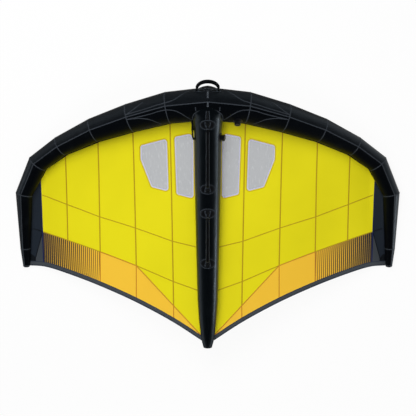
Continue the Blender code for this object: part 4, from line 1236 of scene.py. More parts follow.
@dataclass
class LeadingEdge:
    """The inflated leading edge: sleeve, bladder, seam tapes and the welt along the canopy's attachment."""

    skin: TubeSkin
    outer_columns: int = 80
    inner_columns: int = 48
    row_spacing: float = 0.020
    ring_tape: float = 0.0075
    main_tape: float = 0.0080
    dart_tape: float = 0.0065
    tape_height: float = 0.0005
    bladder_gap: float = 0.0022
    bladder_steps: int = 8
    bladder_columns: int = 56
    slack_depth: float = 0.0009
    ring_slack: float = 0.016
    main_slack: float = 0.012
    middle_tape: float = 0.014
    middle_runs: tuple[Pair, ...] = ((38, 66.5), (80, 97))
    welt_width: float = 0.020
    welt_height: float = 0.0008
    ring_steps: int = 112
    seam_steps: int = 14
    seam_angles: tuple[float, ...] = (80, 80, 80, 81, 81.5, 75.5, 74, 65, 60, 60)
    upper_dart: tuple[Pair, ...] = ((0.43, 21.5), (0.63, 45.5), (0.79, 60.5), (0.99, 68), (1.19, 68),
                                    (1.37, 69.5), (2.0, 71))
    lower_dart: tuple[Pair, ...] = ((0.40, 149), (0.56, 123.5), (0.71, 105.5), (0.82, 98), (1.01, 93.5),
                                    (1.18, 92), (1.40, 93.5), (1.99, 90.5))
    upper_side_dart: tuple[Pair, ...] = ((1.53, 38), (1.7, 52), (1.85, 63), (2.0, 71))
    lower_side_dart: tuple[Pair, ...] = ((1.20, 152), (1.32, 131), (1.44, 114.5), (1.7, 98), (1.99, 90.5))

    def seam_angle(self, u: float) -> float:
        """Give the main seam's angle at a place along the tube."""
        return radians(on_line(range(len(self.seam_angles)), self.seam_angles, abs(u)))

    def stepped(self, count: int) -> list[float]:
        """Give even places along the right half, a count of them to each panel."""
        return [k + n / count for k in range(self.skin.tip) for n in range(count)]

    def places(self) -> list[float]:
        """Give the rows of the right half, closer together at each seam.

        Returns:
            The places, in stations from the middle.
        """
        made = []
        for k, (a, b) in enumerate(zip(self.skin.stations, self.skin.stations[1:])):
            count = max(int((b.centre - a.centre).length / self.row_spacing), 4)
            made += [k, k + 0.25 / count, *(k + n / count for n in range(1, count)), k + 1 - 0.25 / count]
        return [*made, *(self.skin.tip + t for t in (0.0, 0.12, 0.25, 0.4, 0.55, 0.7, 0.85, 0.95))]

    def slack(self, u: float, v: float) -> float:
        """Give how far the cloth pulls in beside its seams.

        Args:
            u: The place along the tube, in stations from the middle.
            v: The angle round it.

        Returns:
            The depth in metres.
        """
        k = held(round(abs(u)), 0, self.skin.tip)
        first = self.skin.stations[min(int(abs(u)), self.skin.tip - 1)]
        second = self.skin.stations[min(int(abs(u)) + 1, self.skin.tip)]
        gap = abs(abs(u) - k) * (second.centre - first.centre).length
        ring = exp(-gap / self.ring_slack) * (0.55 + 0.45 * sin(v * 29 + k * 1.7))
        side = abs(v - self.seam_angle(u)) * first.radius
        main = exp(-side / self.main_slack) * (0.5 + 0.5 * sin(abs(u) * 41))
        return self.slack_depth * max(ring, 0.6 * main)

    def sleeve(self) -> bpy.types.Object:
        """Build the sleeve from one tip to the other, split in two cloths along the main seam.

        Returns:
            The piece, at the origin.
        """
        half = self.places()
        places = both_halves(half)
        low = self.skin.attach_angle - FULL_TURN
        rows, spots = [], []
        run = 0.0
        for n, u in enumerate(places):
            seam = self.seam_angle(u)
            angles = [low + (seam - low) * k / self.outer_columns for k in range(self.outer_columns)]
            angles += [seam + (self.skin.attach_angle - seam) * k / self.inner_columns
                       for k in range(self.inner_columns)]
            rows.append([self.skin.point(u, v, -self.slack(u, v)) for v in angles])
            if n:
                run += (rows[-1][0] - rows[-2][0]).length
            girth = self.skin.stations[min(round(abs(u)), self.skin.tip)].radius
            spots.append([(run, v * girth) for v in [*angles, self.skin.attach_angle]])
        draft = Draft()
        looks = [0] * self.outer_columns + [1] * self.inner_columns
        draft.grid(rows, spots, looks)
        for row, u in ((rows[0], -self.skin.tip - 1), (rows[-1], self.skin.tip + 1)):
            draft.cap(row, self.skin.point(u, 0.0))
        return draft.piece("leading_edge_sleeve", Finishes.outer_sleeve, Finishes.inner_sleeve, crease=60)

    def bladder(self) -> bpy.types.Object:
        """Build the air bladder, just inside the sleeve.

        Returns:
            The piece, at the origin.
        """
        half = self.stepped(self.bladder_steps)
        places = both_halves(half + [self.skin.tip + t for t in (0.0, 0.3, 0.6, 0.85)])
        columns = self.bladder_columns
        angles = [FULL_TURN * k / columns for k in range(columns)]
        rows = [[self.skin.point(u, v, -self.bladder_gap) for v in angles] for u in places]
        spots = [[(u * 0.3, k * 0.01) for k in range(columns + 1)] for u in places]
        draft = Draft()
        draft.grid(rows, spots)
        draft.close_ends(rows)
        return draft.piece("leading_edge_air_bladder", Finishes.bladder, crease=60)

    def rings(self) -> bpy.types.Object:
        """Build the tapes over the seams between panels.

        Returns:
            The piece, at the origin.
        """
        draft = Draft()
        low = self.skin.attach_angle - FULL_TURN
        angles = [low + FULL_TURN * k / self.ring_steps for k in range(self.ring_steps + 1)]
        for k in range(1, self.skin.tip + 1):
            for sign in (-1, 1):
                self.skin.tape(draft, [(sign * k, v) for v in angles], self.ring_tape, self.tape_height)
        return draft.piece("leading_edge_ring_tapes", Finishes.tube_tape, crease=50)

    def long_seams(self) -> bpy.types.Object:
        """Build the main seam and the darts that run into it.

        Returns:
            The piece, at the origin.
        """
        draft = Draft()
        full = self.stepped(self.seam_steps) + [self.skin.tip + 0.3]
        main = [(u, self.seam_angle(u)) for u in both_halves(full)]
        self.skin.tape(draft, main, self.main_tape, self.tape_height * 1.3)
        for sign in (-1, 1):
            for dart in (self.upper_dart, self.lower_dart, self.upper_side_dart, self.lower_side_dart):
                first, last = dart[0][0], dart[-1][0]
                us, vs = [p[0] for p in dart], [p[1] for p in dart]
                steps = int((last - first) * 36)
                places = [first + (last - first) * k / steps for k in range(steps + 1)]
                line = [(sign * u, radians(on_curve(us, vs, u))) for u in places]
                self.skin.tape(draft, line, self.dart_tape, self.tape_height * 0.8)
            tick = [(sign * 0.29, radians(93.5 + 13.5 * k / 8)) for k in range(9)]
            self.skin.tape(draft, tick, self.dart_tape, self.tape_height * 0.8)
        return draft.piece("leading_edge_seam_tapes", Finishes.tube_tape, crease=50)

    def middle_seam(self) -> bpy.types.Object:
        """Build the brighter tape at the very middle, in front of the strut's nose.

        Returns:
            The piece, at the origin.
        """
        draft = Draft()
        for low, high in self.middle_runs:
            line = [(0.0001, radians(low + (high - low) * k / 24)) for k in range(25)]
            self.skin.tape(draft, line, self.middle_tape, self.tape_height * 1.4)
        return draft.piece("leading_edge_middle_tape", Finishes.bright_tape, crease=50)

    def attach_welt(self) -> bpy.types.Object:
        """Build the folded cloth by which the canopy hangs from the tube.

        Returns:
            The piece, at the origin.
        """
        draft = Draft()
        full = self.stepped(self.seam_steps) + [self.skin.tip]
        line = [(u, self.skin.attach_angle) for u in both_halves(full)]
        self.skin.tape(draft, line, self.welt_width, self.welt_height)
        return draft.piece("canopy_attach_welt", Finishes.welt, crease=50)

    def build(self) -> None:
        """Build and dress every piece."""
        panels = [f"leading_edge_panel_{side}_{k + 1}" for side in ("left", "right")
                  for k in range(self.skin.tip)]
        dress(self.sleeve(), "airframe", Finishes.outer_sleeve, *panels)
        dress(self.bladder(), "airframe", Finishes.bladder, "leading_edge_bladder")
        dress(self.rings(), "airframe", Finishes.tube_tape)
        dress(self.long_seams(), "airframe", Finishes.tube_tape)
        dress(self.middle_seam(), "airframe", Finishes.bright_tape)
        dress(self.attach_welt(), "airframe", Finishes.welt)


class Region(Enum):
    """The cloths of the canopy, as finish numbers."""

    YELLOW = 0
    AMBER = 1
    STRIPED = 2
    NAVY = 3
    BAND = 4
    CORNER = 5
    # Painted highlight: a paler grey triangle beside the tip seam, not a cloth of its own
    GUSSET = 6


@dataclass
class Window:
    """A clear window let into the canopy."""

    label: str
    spans: tuple[float, ...]
    depths: tuple[float, ...]
    corner: float = 0.022

    def outline(self, skin: CanopySkin, grow: float = 0.0) -> list[Vector]:
        """Give the window's outline in plan, its corners rounded.

        Args:
            skin: The canopy that holds it.
            grow: How far the outline is moved outward.

        Returns:
            The outline's points, on the right half.
        """
        corners = [Vector((skin.tube.half_span * x, -skin.depth * y))
                   for x, y in zip(self.spans, self.depths)]
        points = []
        for k, corner in enumerate(corners):
            before = (corners[k - 1] - corner).normalized()
            after = (corners[(k + 1) % len(corners)] - corner).normalized()
            opening = before.angle(after)
            inward = (before + after).normalized()
            centre = corner + inward * (self.corner / sin(opening / 2))
            first = corner + before * (self.corner / tan(opening / 2)) - centre
            sweep = (pi - opening) / 8
            turn = 1 if first.cross(corner - centre) > 0 else -1
            for step in range(9):
                swung = first.copy()
                swung.rotate(Matrix.Rotation(turn * sweep * step, 2))
                points.append(centre + swung * (1 + grow / self.corner))
        return dense(points, 0.010)


def dense(points: Sequence[Vector], gap: float, closed: bool = True) -> list[Vector]:
    """Add points along a line in plan, so that none are further apart than a gap.

    Args:
        points: The line's corners.
        gap: The longest step.
        closed: Whether the last corner joins the first.

    Returns:
        The line with its added points.
    """
    made = []
    count = len(points) if closed else len(points) - 1
    for k in range(count):
        start, end = points[k], points[(k + 1) % len(points)]
        steps = max(int((end - start).length / gap), 1)
        made += [start + (end - start) * (n / steps) for n in range(steps)]
    return made if closed else [*made, points[-1]]


def inside(spot: Vector, outline: Sequence[Vector]) -> bool:
    """Say whether a place in plan lies inside an outline.

    Args:
        spot: The place.
        outline: The outline's corners in order.

    Returns:
        Whether it does.
    """
    found = False
    for k, b in enumerate(outline):
        a = outline[k - 1]
        if (a.y > spot.y) != (b.y > spot.y):
            if spot.x < a.x + (b.x - a.x) * (spot.y - a.y) / (b.y - a.y):
                found = not found
    return found


@dataclass
class Canopy:
    """The canopy: one sheet across the span, its windows, seam tapes and corner patches."""

    skin: CanopySkin
    spacing: float = 0.016
    wall: float = 0.0006
    seam_width: float = 0.011
    panel_seam_width: float = 0.008
    tape_height: float = 0.00035
    tape_step: float = 0.012
    tip_seam_width: float = 0.010
    hem_width: float = 0.006
    fold_rise: float = 0.004
    fold_width: float = 0.008
    corner_reach: Pair = (0.050, 0.060)
    # Width at the band of the painted highlight beside the tip seam
    highlight_wide: float = 0.078
    flap_shows: tuple[float, ...] = (0.002, 0.009, 0.010, 0.011, 0.010, 0.003, -0.006)
    flap_reach: float = 0.191
    flap_steps: int = 16
    flap_profile: tuple[Pair, ...] = ((0.0, 0.0), (0.0, 0.0016), (0.4, 0.0020), (0.8, 0.0022), (0.97, 0.0022),
                                      (1.0, 0.0014), (1.0, -0.0004))
    pane_lap: float = 0.009
    pane_spacing: float = 0.014
    pane_clear: float = 0.008
    pane_wall: float = 0.0003
    flat: Pair = (3.06, 1.90)
    flat_area: float = 3.68
    windows: tuple[Window, ...] = (
        Window("inner", (0.1755, 0.0931, 0.0771, 0.0771, 0.1662), (0.1397, 0.1268, 0.1474, 0.3948, 0.3784)),
        Window("outer", (0.3590, 0.2190, 0.2115, 0.3019, 0.3584), (0.1778, 0.1480, 0.3665, 0.3495, 0.2351)),
    )
    first_cross_seam: tuple[Pair, ...] = ((1.361, -0.766), (0.888, -0.930), (0.59, -1.015),
                                          (0.288, -1.116), (0.087, -1.163), (0.0, -1.175))
    second_cross_seam: tuple[Pair, ...] = ((1.353, -1.072), (1.149, -1.133), (0.876, -1.219),
                                           (0.581, -1.322), (0.281, -1.443), (0.08, -1.513), (0.0, -1.53))
    tip_cross_seam: tuple[Pair, ...] = ((1.357, -1.071), (1.400, -1.058), (1.446, -1.046))

    def yellow_line(self) -> list[Vector]:
        """Give the seam where yellow ends, from the middle to the tip seam.

        Returns:
            The seam's corners in plan.
        """
        point = self.skin.yellow_point
        ends = [Vector((x, self.skin.band_y(x) + 0.0012)) for x in (0.0, point * 0.5, point)]
        ends += [seam[1] for seam in self.skin.seams]
        return [*ends, self.skin.tip_seam[2]]

    def outline(self) -> list[Vector]:
        """Give the right half's edge in plan, from the middle's front round to its rear.

        Returns:
            The edge's points in plan.
        """
        points = [Vector((0.0, self.skin.tube.attach[0].y))]
        points += [Vector(p.xy) for p in self.skin.tube.attach[1:-1]]
        end = self.skin.rail_end
        points.append(end)
        points = dense(points, self.spacing, closed=False)
        steps = 100
        points += [Vector((end.x * (1 - k / steps), self.skin.trailing_y(end.x * (1 - k / steps))))
                   for k in range(steps)]
        return [*points, Vector((0.0, self.skin.trailing_y(0.0)))]

    def lines(self) -> list[list[Vector]]:
        """Give every seam that the sheet's faces must not cross, and the edge of the painted highlight beside
        the tip seam.

        Returns:
            The seams, each as points in plan.
        """
        made = [self.yellow_line(), self.skin.tip_seam, self.highlight_line()]
        made += [list(seam) for seam in self.skin.seams]
        made = [dense(line, self.spacing, closed=False) for line in made]
        made.append(self.corner_line())
        end = self.skin.rail_end.x
        made.append([Vector((end * k / 90, self.skin.band_y(end * k / 90))) for k in range(91)])
        return made

    def highlight_line(self) -> list[Vector]:
        """Give the outer edge of the painted highlight, a paler grey triangle beside the tip seam, front to
        rear.
        """
        foot = self.skin.tip_seam[3].x + self.highlight_wide
        return [self.skin.tip_seam[2], Vector((foot, self.skin.band_y(foot)))]

    def corner_line(self) -> list[Vector]:
        """Give the round edge of the patch in the tip's rear corner, from the band to the rail.

        Returns:
            The edge's points in plan.
        """
        end = self.skin.rail_end
        wide, deep = self.corner_reach
        turns = [radians(180 - 4 * k) for k in range(40)]
        arc = [end + Vector((cos(a) * wide, sin(a) * deep)) for a in turns]
        edge = self.outline()
        return [p for p in arc if inside(p, edge) and p.y > self.skin.band_y(p.x) + 0.002]

    def region(self, spot: Vector) -> Region:
        """Say which cloth covers a place in plan.

        Args:
            spot: The place.

        Returns:
            The cloth that covers it.
        """
        if spot.y < self.skin.band_y(spot.x):
            return Region.BAND
        off = spot - self.skin.rail_end
        if (off.x / self.corner_reach[0]) ** 2 + (off.y / self.corner_reach[1]) ** 2 < 1:
            return Region.CORNER
        corners = self.skin.tip_seam
        # The painted highlight: a paler grey triangle just outboard of the tip seam
        peak, foot = self.highlight_line()
        outer = peak.x + (foot.x - peak.x) * share_of(spot.y, peak.y, foot.y)
        if self.skin.tip_line(spot.y) < spot.x < outer:
            return Region.GUSSET
        if spot.y < corners[0].y + 0.05 and spot.x > self.skin.tip_line(spot.y):
            return Region.NAVY
        if spot.x > corners[0].x and spot.y > corners[1].y:
            return Region.NAVY if spot.x > self.skin.tip_line(spot.y) else Region.YELLOW
        line = self.yellow_line()
        if spot.y > on_line([p.x for p in line], [p.y for p in line], spot.x):
            return Region.YELLOW
        return Region.STRIPED if spot.x > self.skin.seams[2][1].x else Region.AMBER

    def plan(self) -> tuple[list[Vector], list[tuple[int, ...]]]:
        """Cut the right half into triangles that keep to its seams and windows.

        Returns:
            The places in plan, and the triangles outside the windows.
        """
        edge = self.outline()
        holes = [window.outline(self.skin) for window in self.windows]
        points: list[Vector] = []
        links: list[tuple[int, int]] = []
        closed = [edge, *holes]
        for n, line in enumerate([*closed, *self.lines()]):
            first = len(points)
            points += line
            links += [(first + k, first + k + 1) for k in range(len(line) - 1)]
            if n < len(closed):
                links.append((first + len(line) - 1, first))
        taken = {(round(p.x / self.spacing), round(p.y / self.spacing)) for p in points}
        low_y = min(p.y for p in edge)
        wide = int(max(p.x for p in edge) / self.spacing)
        deep = int((edge[0].y - low_y) / self.spacing)
        for i in range(1, wide + 1):
            for j in range(deep + 1):
                x = (i + 0.5 * (j % 2)) * self.spacing
                y = low_y + j * self.spacing
                key = (round(x / self.spacing), round(y / self.spacing))
                if key not in taken and inside(Vector((x, y)), edge):
                    points.append(Vector((x, y)))
        flat, _, faces, _, _, _ = delaunay_2d_cdt(points, links, [], 0, 1e-5)
        kept = []
        for face in faces:
            middle = sum((flat[k] for k in face), Vector((0.0, 0.0))) / 3
            if inside(middle, edge) and not any(inside(middle, hole) for hole in holes):
                kept.append(tuple(face))
        return list(flat), kept

    def sheet(self) -> bpy.types.Object:
        """Build the one curved sheet across both halves, with a wall.

        Returns:
            The piece, at the origin.
        """
        flat, faces = self.plan()
        draft = Draft()
        count = len(flat)
        right = [self.skin.point(p.x, p.y) for p in flat]
        left = [Vector((-p.x, p.y, p.z)) for p in right]
        draft.verts = right + left
        for face in faces:
            middle = sum((flat[k] for k in face), Vector((0.0, 0.0))) / 3
            look = self.region(middle).value
            for turned, shift in ((face, 0), (face[::-1], count)):
                draft.faces.append(tuple(k + shift for k in turned))
                draft.spots.append([tuple(flat[k]) for k in turned])
                draft.looks.append(look)
        # The last finish is the painted highlight beside the tip seam
        looks = (Finishes.yellow, Finishes.amber, Finishes.striped, Finishes.navy, Finishes.band,
                 Finishes.corner, Finishes.painted_tip_highlight)
        made = draft.piece("canopy_sheet", *looks, crease=60, weld=0.0001, outward=False)
        area = sum(face.area for face in made.data.polygons)
        LOG.info("canopy sheet area %.3f", area)
        Workbench.walled(made, self.wall)
        return made

    def tape_along(self, draft: Draft, line: Sequence[Vector], width: float, look: int = 0,
                   height: float = 0.0) -> None:
        """Lay a tape on both faces of the canopy and on both halves.

        Args:
            draft: The mesh that takes the tape.
            line: The tape's middle in plan.
            width: Its width.
            look: The number of its finish.
            height: How far it stands over the cloth, or 0 for the usual height.
        """
        height = (height or self.tape_height) + self.wall / 2
        close = dense(line, self.tape_step, closed=False)
        for sign in (-1, 1):
            path = [(sign * p.x, p.y) for p in close]
            for side in (1.0, -1.0):
                self.skin.tape(draft, path, width, height, look, sink=0.0, side=side)

    def seam_tapes(self) -> bpy.types.Object:
        """Build the tapes over the seams of the yellow panels, along and across the chord.

        Returns:
            The piece, at the origin.
        """
        draft = Draft()
        for seam in self.skin.seams:
            self.tape_along(draft, seam[:2], self.seam_width)
        for line in (self.first_cross_seam, self.second_cross_seam):
            corners = [Vector(p) for p in line]
            self.tape_along(draft, corners, self.panel_seam_width, height=self.tape_height * 0.8)
        return draft.piece("yellow_seam_tapes", Finishes.yellow_tape, crease=50)

    def amber_tapes(self) -> bpy.types.Object:
        """Build the tapes round the amber and striped panels.

        Returns:
            The piece, at the origin.
        """
        draft = Draft()
        for seam in self.skin.seams[:3]:
            self.tape_along(draft, seam[1:], self.panel_seam_width)
        self.tape_along(draft, self.yellow_line()[:6], self.panel_seam_width, height=self.tape_height * 1.2)
        return draft.piece("amber_seam_tapes", Finishes.amber_tape, crease=50)

    def tip_tapes(self) -> bpy.types.Object:
        """Build the indigo tape along the tip seam.

        Returns:
            The piece, at the origin.
        """
        draft = Draft()
        self.tape_along(draft, self.skin.tip_seam, self.tip_seam_width, height=self.tape_height * 1.4)
        return draft.piece("tip_seam_tapes", Finishes.indigo_tape, crease=50)

    def corner_tapes(self) -> bpy.types.Object:
        """Build the seam across the tip panel, the edge of its corner patch, and a dark tape along the edge
        of the painted highlight beside the tip seam.

        Returns:
            The piece, at the origin.
        """
        draft = Draft()
        self.tape_along(draft, [Vector(p) for p in self.tip_cross_seam], self.panel_seam_width)
        self.tape_along(draft, self.corner_line(), self.panel_seam_width)
        # A dark tape along the edge of the painted highlight
        self.tape_along(draft, self.highlight_line(), self.panel_seam_width)
        return draft.piece("tip_panel_tapes", Finishes.navy_tape, crease=50)

    def front_flap(self) -> bpy.types.Object:
        """Build the dark strip of cloth by which the canopy closes on the leading edge.

        Returns:
            The piece, at the origin.
        """
        draft = Draft()
        stations = self.skin.tube.stations
        edge = [Vector(p.xy) for p in self.skin.tube.attach[:len(self.flap_shows)]]
        inward = []
        for k, corner in enumerate(edge):
            before = (corner - edge[max(k - 1, 0)]).normalized() if k else Vector((1.0, 0.0))
            after = (edge[min(k + 1, len(edge) - 1)] - corner).normalized() if k + 1 < len(edge) else before
            way = (before + after).normalized()
            inward.append(Vector((way.y, -way.x)) / way.dot(after))
        widths = [self.flap_reach * s.radius + shown for s, shown in zip(stations, self.flap_shows)]
        for sign in (-1, 1):
            rows, spots = [], []
            run = 0.0
            for k in range(len(edge) - 1):
                for n in range(self.flap_steps + (k == len(edge) - 2)):
                    t = n / self.flap_steps
                    front = edge[k].lerp(edge[k + 1], t)
                    reach = inward[k].lerp(inward[k + 1], t) * (widths[k] + (widths[k + 1] - widths[k]) * t)
                    run += (edge[k + 1] - edge[k]).length / self.flap_steps
                    row, spot = [], []
                    for share, rise in self.flap_profile:
                        p = front + reach * share
                        row.append(self.skin.lifted(sign * p.x, p.y, rise + self.wall / 2))
                        spot.append((run, (share - 1) * reach.length + 0.0045))
                    rows.append(row)
                    spots.append([*spot, spot[0]])
            draft.grid(rows, spots)
            draft.close_ends(rows)
        return draft.piece("canopy_front_flap", Finishes.welt, crease=50)

    def hem(self) -> bpy.types.Object:
        """Build the folded, stitched hem along the trailing edge.

        Returns:
            The piece, at the origin.
        """
        draft = Draft()
        end = self.skin.rail_end.x
        for drop, width in ((self.skin.band, self.hem_width), (self.fold_rise, self.fold_width)):
            line = [Vector((end * k / 110, self.skin.trailing_y(end * k / 110) + drop)) for k in range(111)]
            self.tape_along(draft, line, width, height=self.tape_height * 1.5)
        return draft.piece("trailing_hem_tapes", Finishes.band_tape, crease=50)

    def panes(self) -> None:
        """Build the window panes, lapped under the edges of their holes."""
        for window in self.windows:
            edge = window.outline(self.skin, self.pane_lap)
            links = [(k, (k + 1) % len(edge)) for k in range(len(edge))]
            low = Vector((min(p.x for p in edge), min(p.y for p in edge)))
            high = Vector((max(p.x for p in edge), max(p.y for p in edge)))
            points = list(edge)
            for i in range(1, int((high.x - low.x) / self.pane_spacing) + 1):
                for j in range(1, int((high.y - low.y) / self.pane_spacing) + 1):
                    spot = low + Vector((i, j)) * self.pane_spacing
                    if inside(spot, edge) and min((spot - p).length for p in edge) > self.pane_clear:
                        points.append(spot)
            flat, _, faces, _, _, _ = delaunay_2d_cdt(points, links, [], 1, 1e-5)
            for side, sign in (("left", -1), ("right", 1)):
                draft = Draft()
                for p in flat:
                    draft.verts.append(self.skin.lifted(sign * p.x, p.y, -self.wall - 0.0001))
                for face in faces:
                    draft.faces.append(tuple(face))
                    draft.spots.append([tuple(flat[k]) for k in face])
                    draft.looks.append(0)
                pane = draft.piece(f"window_pane_{window.label}_{side}", Finishes.window, crease=60)
                Workbench.walled(pane, self.pane_wall)
                dress(pane, "airframe", Finishes.window, f"window_{window.label}_{side}")

    def rims(self) -> None:
        """Build the pale rim inside each window's edge and the gold stitching outside it."""
        pale, gold = Draft(), Draft()
        for window in self.windows:
            for sign in (-1, 1):
                for draft, grow, width in ((pale, -0.003, 0.010), (gold, 0.008, 0.006)):
                    ring = window.outline(self.skin, grow)
                    ring = [*ring, ring[0], ring[1]]
                    path = [(sign * p.x, p.y) for p in ring]
                    height = self.wall / 2 + self.tape_height
                    for side in (1.0, -1.0):
                        self.skin.tape(draft, path, width, height, sink=0.0002, side=side)
        dress(pale.piece("window_rim_tapes", Finishes.rim, crease=50), "airframe", Finishes.rim)
        dress(gold.piece("window_stitch_tapes", Finishes.gold, crease=50), "airframe", Finishes.gold)

    def build(self) -> None:
        """Build and dress every piece."""
        nodes = []
        for side in ("left", "right"):
            nodes += [f"canopy_column_{side}_{k}" for k in range(1, 6)]
            nodes += [f"{part}_{side}" for part in ("trailing_panel", "striped_panel", "tip_panel",
                                                    "trailing_band")]
        sheet = dress(self.sheet(), "airframe", Finishes.yellow, *nodes)
        dress(self.seam_tapes(), "airframe", Finishes.yellow_tape)
        dress(self.amber_tapes(), "airframe", Finishes.amber_tape)
        dress(self.tip_tapes(), "airframe", Finishes.indigo_tape)
        dress(self.corner_tapes(), "airframe", Finishes.navy_tape)
        dress(self.front_flap(), "airframe", Finishes.welt)
        dress(self.hem(), "airframe", Finishes.band_tape)
        self.panes()
        self.rims()


@dataclass
class Strut:
    """The centre strut: sleeve with its nose and tail, bladder, side seams and lead strap."""

    skin: StrutSkin
    columns: int = 96
    spacing: float = 0.014
    seam_angle: float = radians(38)
    tape_height: float = 0.0006
    tape_width: float = 0.0075
    tape_end: float = 0.985
    tail_shares: tuple[float, ...] = (0.9456, 0.955, 0.964, 0.972, 0.98, 0.988, 0.9959, 0.9975, 0.999,
                                      0.9996, 1.0)
    bladder_gap: float = 0.0022
    bladder_step: float = 0.03
    bladder_rings: int = 57
    bladder_columns: int = 48
    dent: float = 0.42
    dent_reach: Pair = (0.035, 0.09)
    strap_start: float = 0.046
    strap_length: float = 0.07
    strap_edge: float = 0.13
    strap_width: float = 0.026
    strap_height: float = 0.0014
    welt_wide: float = 0.122
    welt_start: float = -0.121
    welt_deep: float = 0.086
    welt_width: float = 0.0065
    welt_height: float = 0.0014

    def places(self) -> list[float]:
        """Give the depths of the sleeve's rings, closer together on the nose and the tail.

        Returns:
            The depths, from the nose to the tail.
        """
        join = self.skin.join
        full = self.skin.half_width(join)
        nose = [join - full * cos(radians(a)) for a in range(4, 90, 5)]
        tail = [self.skin.length * share for share in self.tail_shares]
        count = int((tail[0] - join) / self.spacing)
        run = [join + (tail[0] - join) * k / count for k in range(count)]
        return nose + run + tail

    def sleeve(self) -> bpy.types.Object:
        """Build the sleeve from the tip of its nose to its tail.

        Returns:
            The piece, at the origin.
        """
        rows, spots = [], []
        for u in self.places():
            angles = [FULL_TURN * k / self.columns for k in range(self.columns)]
            rows.append([self.skin.point(u, v) for v in angles])
            half = self.skin.half_width(u)
            spots.append([(u, half * FULL_TURN * k / self.columns) for k in range(self.columns + 1)])
        draft = Draft()
        draft.grid(rows, spots)
        draft.close_ends(rows)
        return draft.piece("strut_cloth_sleeve", Finishes.strut_sleeve, crease=60)

    def bladder(self) -> bpy.types.Object:
        """Build the strut's air bladder, which gives way round the valve's inside.

        Returns:
            The piece, at the origin.
        """
        columns = self.bladder_columns
        places = [self.skin.join + self.bladder_step + self.bladder_step * k
                  for k in range(self.bladder_rings)]
        rows = []
        for u in places:
            half = self.skin.half_width(u) - self.bladder_gap
            centre = Vector((0.0, AHEAD - u, self.skin.centre_z(u)))
            row = []
            for k in range(columns):
                angle = FULL_TURN * k / columns
                off = Vector((half * cos(angle), 0.0, half * self.skin.squash * sin(angle)))
                kept = eased((centre + off - STRUT_VALVE).length, *self.dent_reach)
                row.append(centre + off * (1 - self.dent * (1 - kept)))
            rows.append(row)
        draft = Draft()
        draft.grid(rows, [[(u, k * 0.01) for k in range(columns + 1)] for u in places])
        draft.close_ends(rows)
        return draft.piece("strut_air_bladder", Finishes.bladder, crease=60)

    def seams(self) -> bpy.types.Object:
        """Build the two side seams of the sleeve.

        Returns:
            The piece, at the origin.
        """
        draft = Draft()
        last = self.tape_end * self.skin.length
        for angle in (self.seam_angle, pi - self.seam_angle):
            steps = 120
            first = self.skin.join - 0.02
            line = [(first + (last - first) * k / steps, angle) for k in range(steps + 1)]
            self.skin.tape(draft, line, self.tape_width, self.tape_height)
        return draft.piece("strut_side_tapes", Finishes.tube_tape, crease=50)

    def nose_welt(self) -> bpy.types.Object:
        """Build the welt that sews the nose to the leading edge.

        Returns:
            The piece, at the origin.
        """
        draft = Draft()
        tube = self.skin.tube
        second = tube.stations[1]
        line = []
        for k in range(49):
            a = pi * k / 48
            x, y = self.welt_wide * cos(a), self.welt_start + self.welt_deep * sin(a) ** 0.8
            share = abs(x) / second.centre.x
            centre = tube.stations[0].centre.lerp(second.centre, share)
            rise = tube.crown_z(x, y) - centre.z
            line.append(((-1 if x < 0 else 1) * max(share, 0.0002), atan2(rise, y - centre.y)))
        tube.tape(draft, line, self.welt_width, self.welt_height)
        return draft.piece("strut_nose_welt", Finishes.tube_tape, crease=50)

    def lead_strap(self) -> bpy.types.Object:
        """Build the strap down the middle of the nose.

        Returns:
            The piece, at the origin.
        """
        draft = Draft()
        places = [self.strap_start + self.strap_length * k / 20 for k in range(21)]
        self.skin.tape(draft, [(u, pi / 2) for u in places], self.strap_width, self.strap_height)
        for side in (-1, 1):
            line = [(u, pi / 2 + side * self.strap_edge) for u in places]
            self.skin.tape(draft, line, 0.0045, 0.0026, look=1, sink=-0.0008)
        return draft.piece("strut_lead_strap", Finishes.webbing, Finishes.patch_edge, crease=50)

    def build(self) -> None:
        """Build and dress every piece."""
        dress(self.sleeve(), "airframe", Finishes.strut_sleeve, "strut_sleeve", "strut_tail")
        dress(self.bladder(), "airframe", Finishes.bladder, "strut_bladder")
        dress(self.seams(), "airframe", Finishes.tube_tape)
        dress(self.nose_welt(), "airframe", Finishes.tube_tape)
        dress(self.lead_strap(), "airframe", Finishes.webbing)


def joint_place(name: str) -> Vector:
    """Give a hinge joint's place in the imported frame."""
    return next(Vector(joint["pos_m"]) for joint in frame["joints"] if joint["name"] == name)


def joint_axis(name: str) -> Vector:
    """Give a joint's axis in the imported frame."""
    return next(Vector(joint["axis"]) for joint in frame["joints"] if joint["name"] == name)


def frame_of(place: Vector, x: Vector, z: Vector) -> Matrix:
    """Give the matrix that stands a piece at a place, with its X and Z axes along two directions.

    Args:
        place: Where the piece stands.
        x: The way of its X axis, made square to Z.
        z: The way of its Z axis, which is kept.

    Returns:
        The matrix.
    """
    z = z.normalized()
    x = (x - z * x.dot(z)).normalized()
    return Matrix.Translation(place) @ Matrix((x, z.cross(x), z)).transposed().to_4x4()


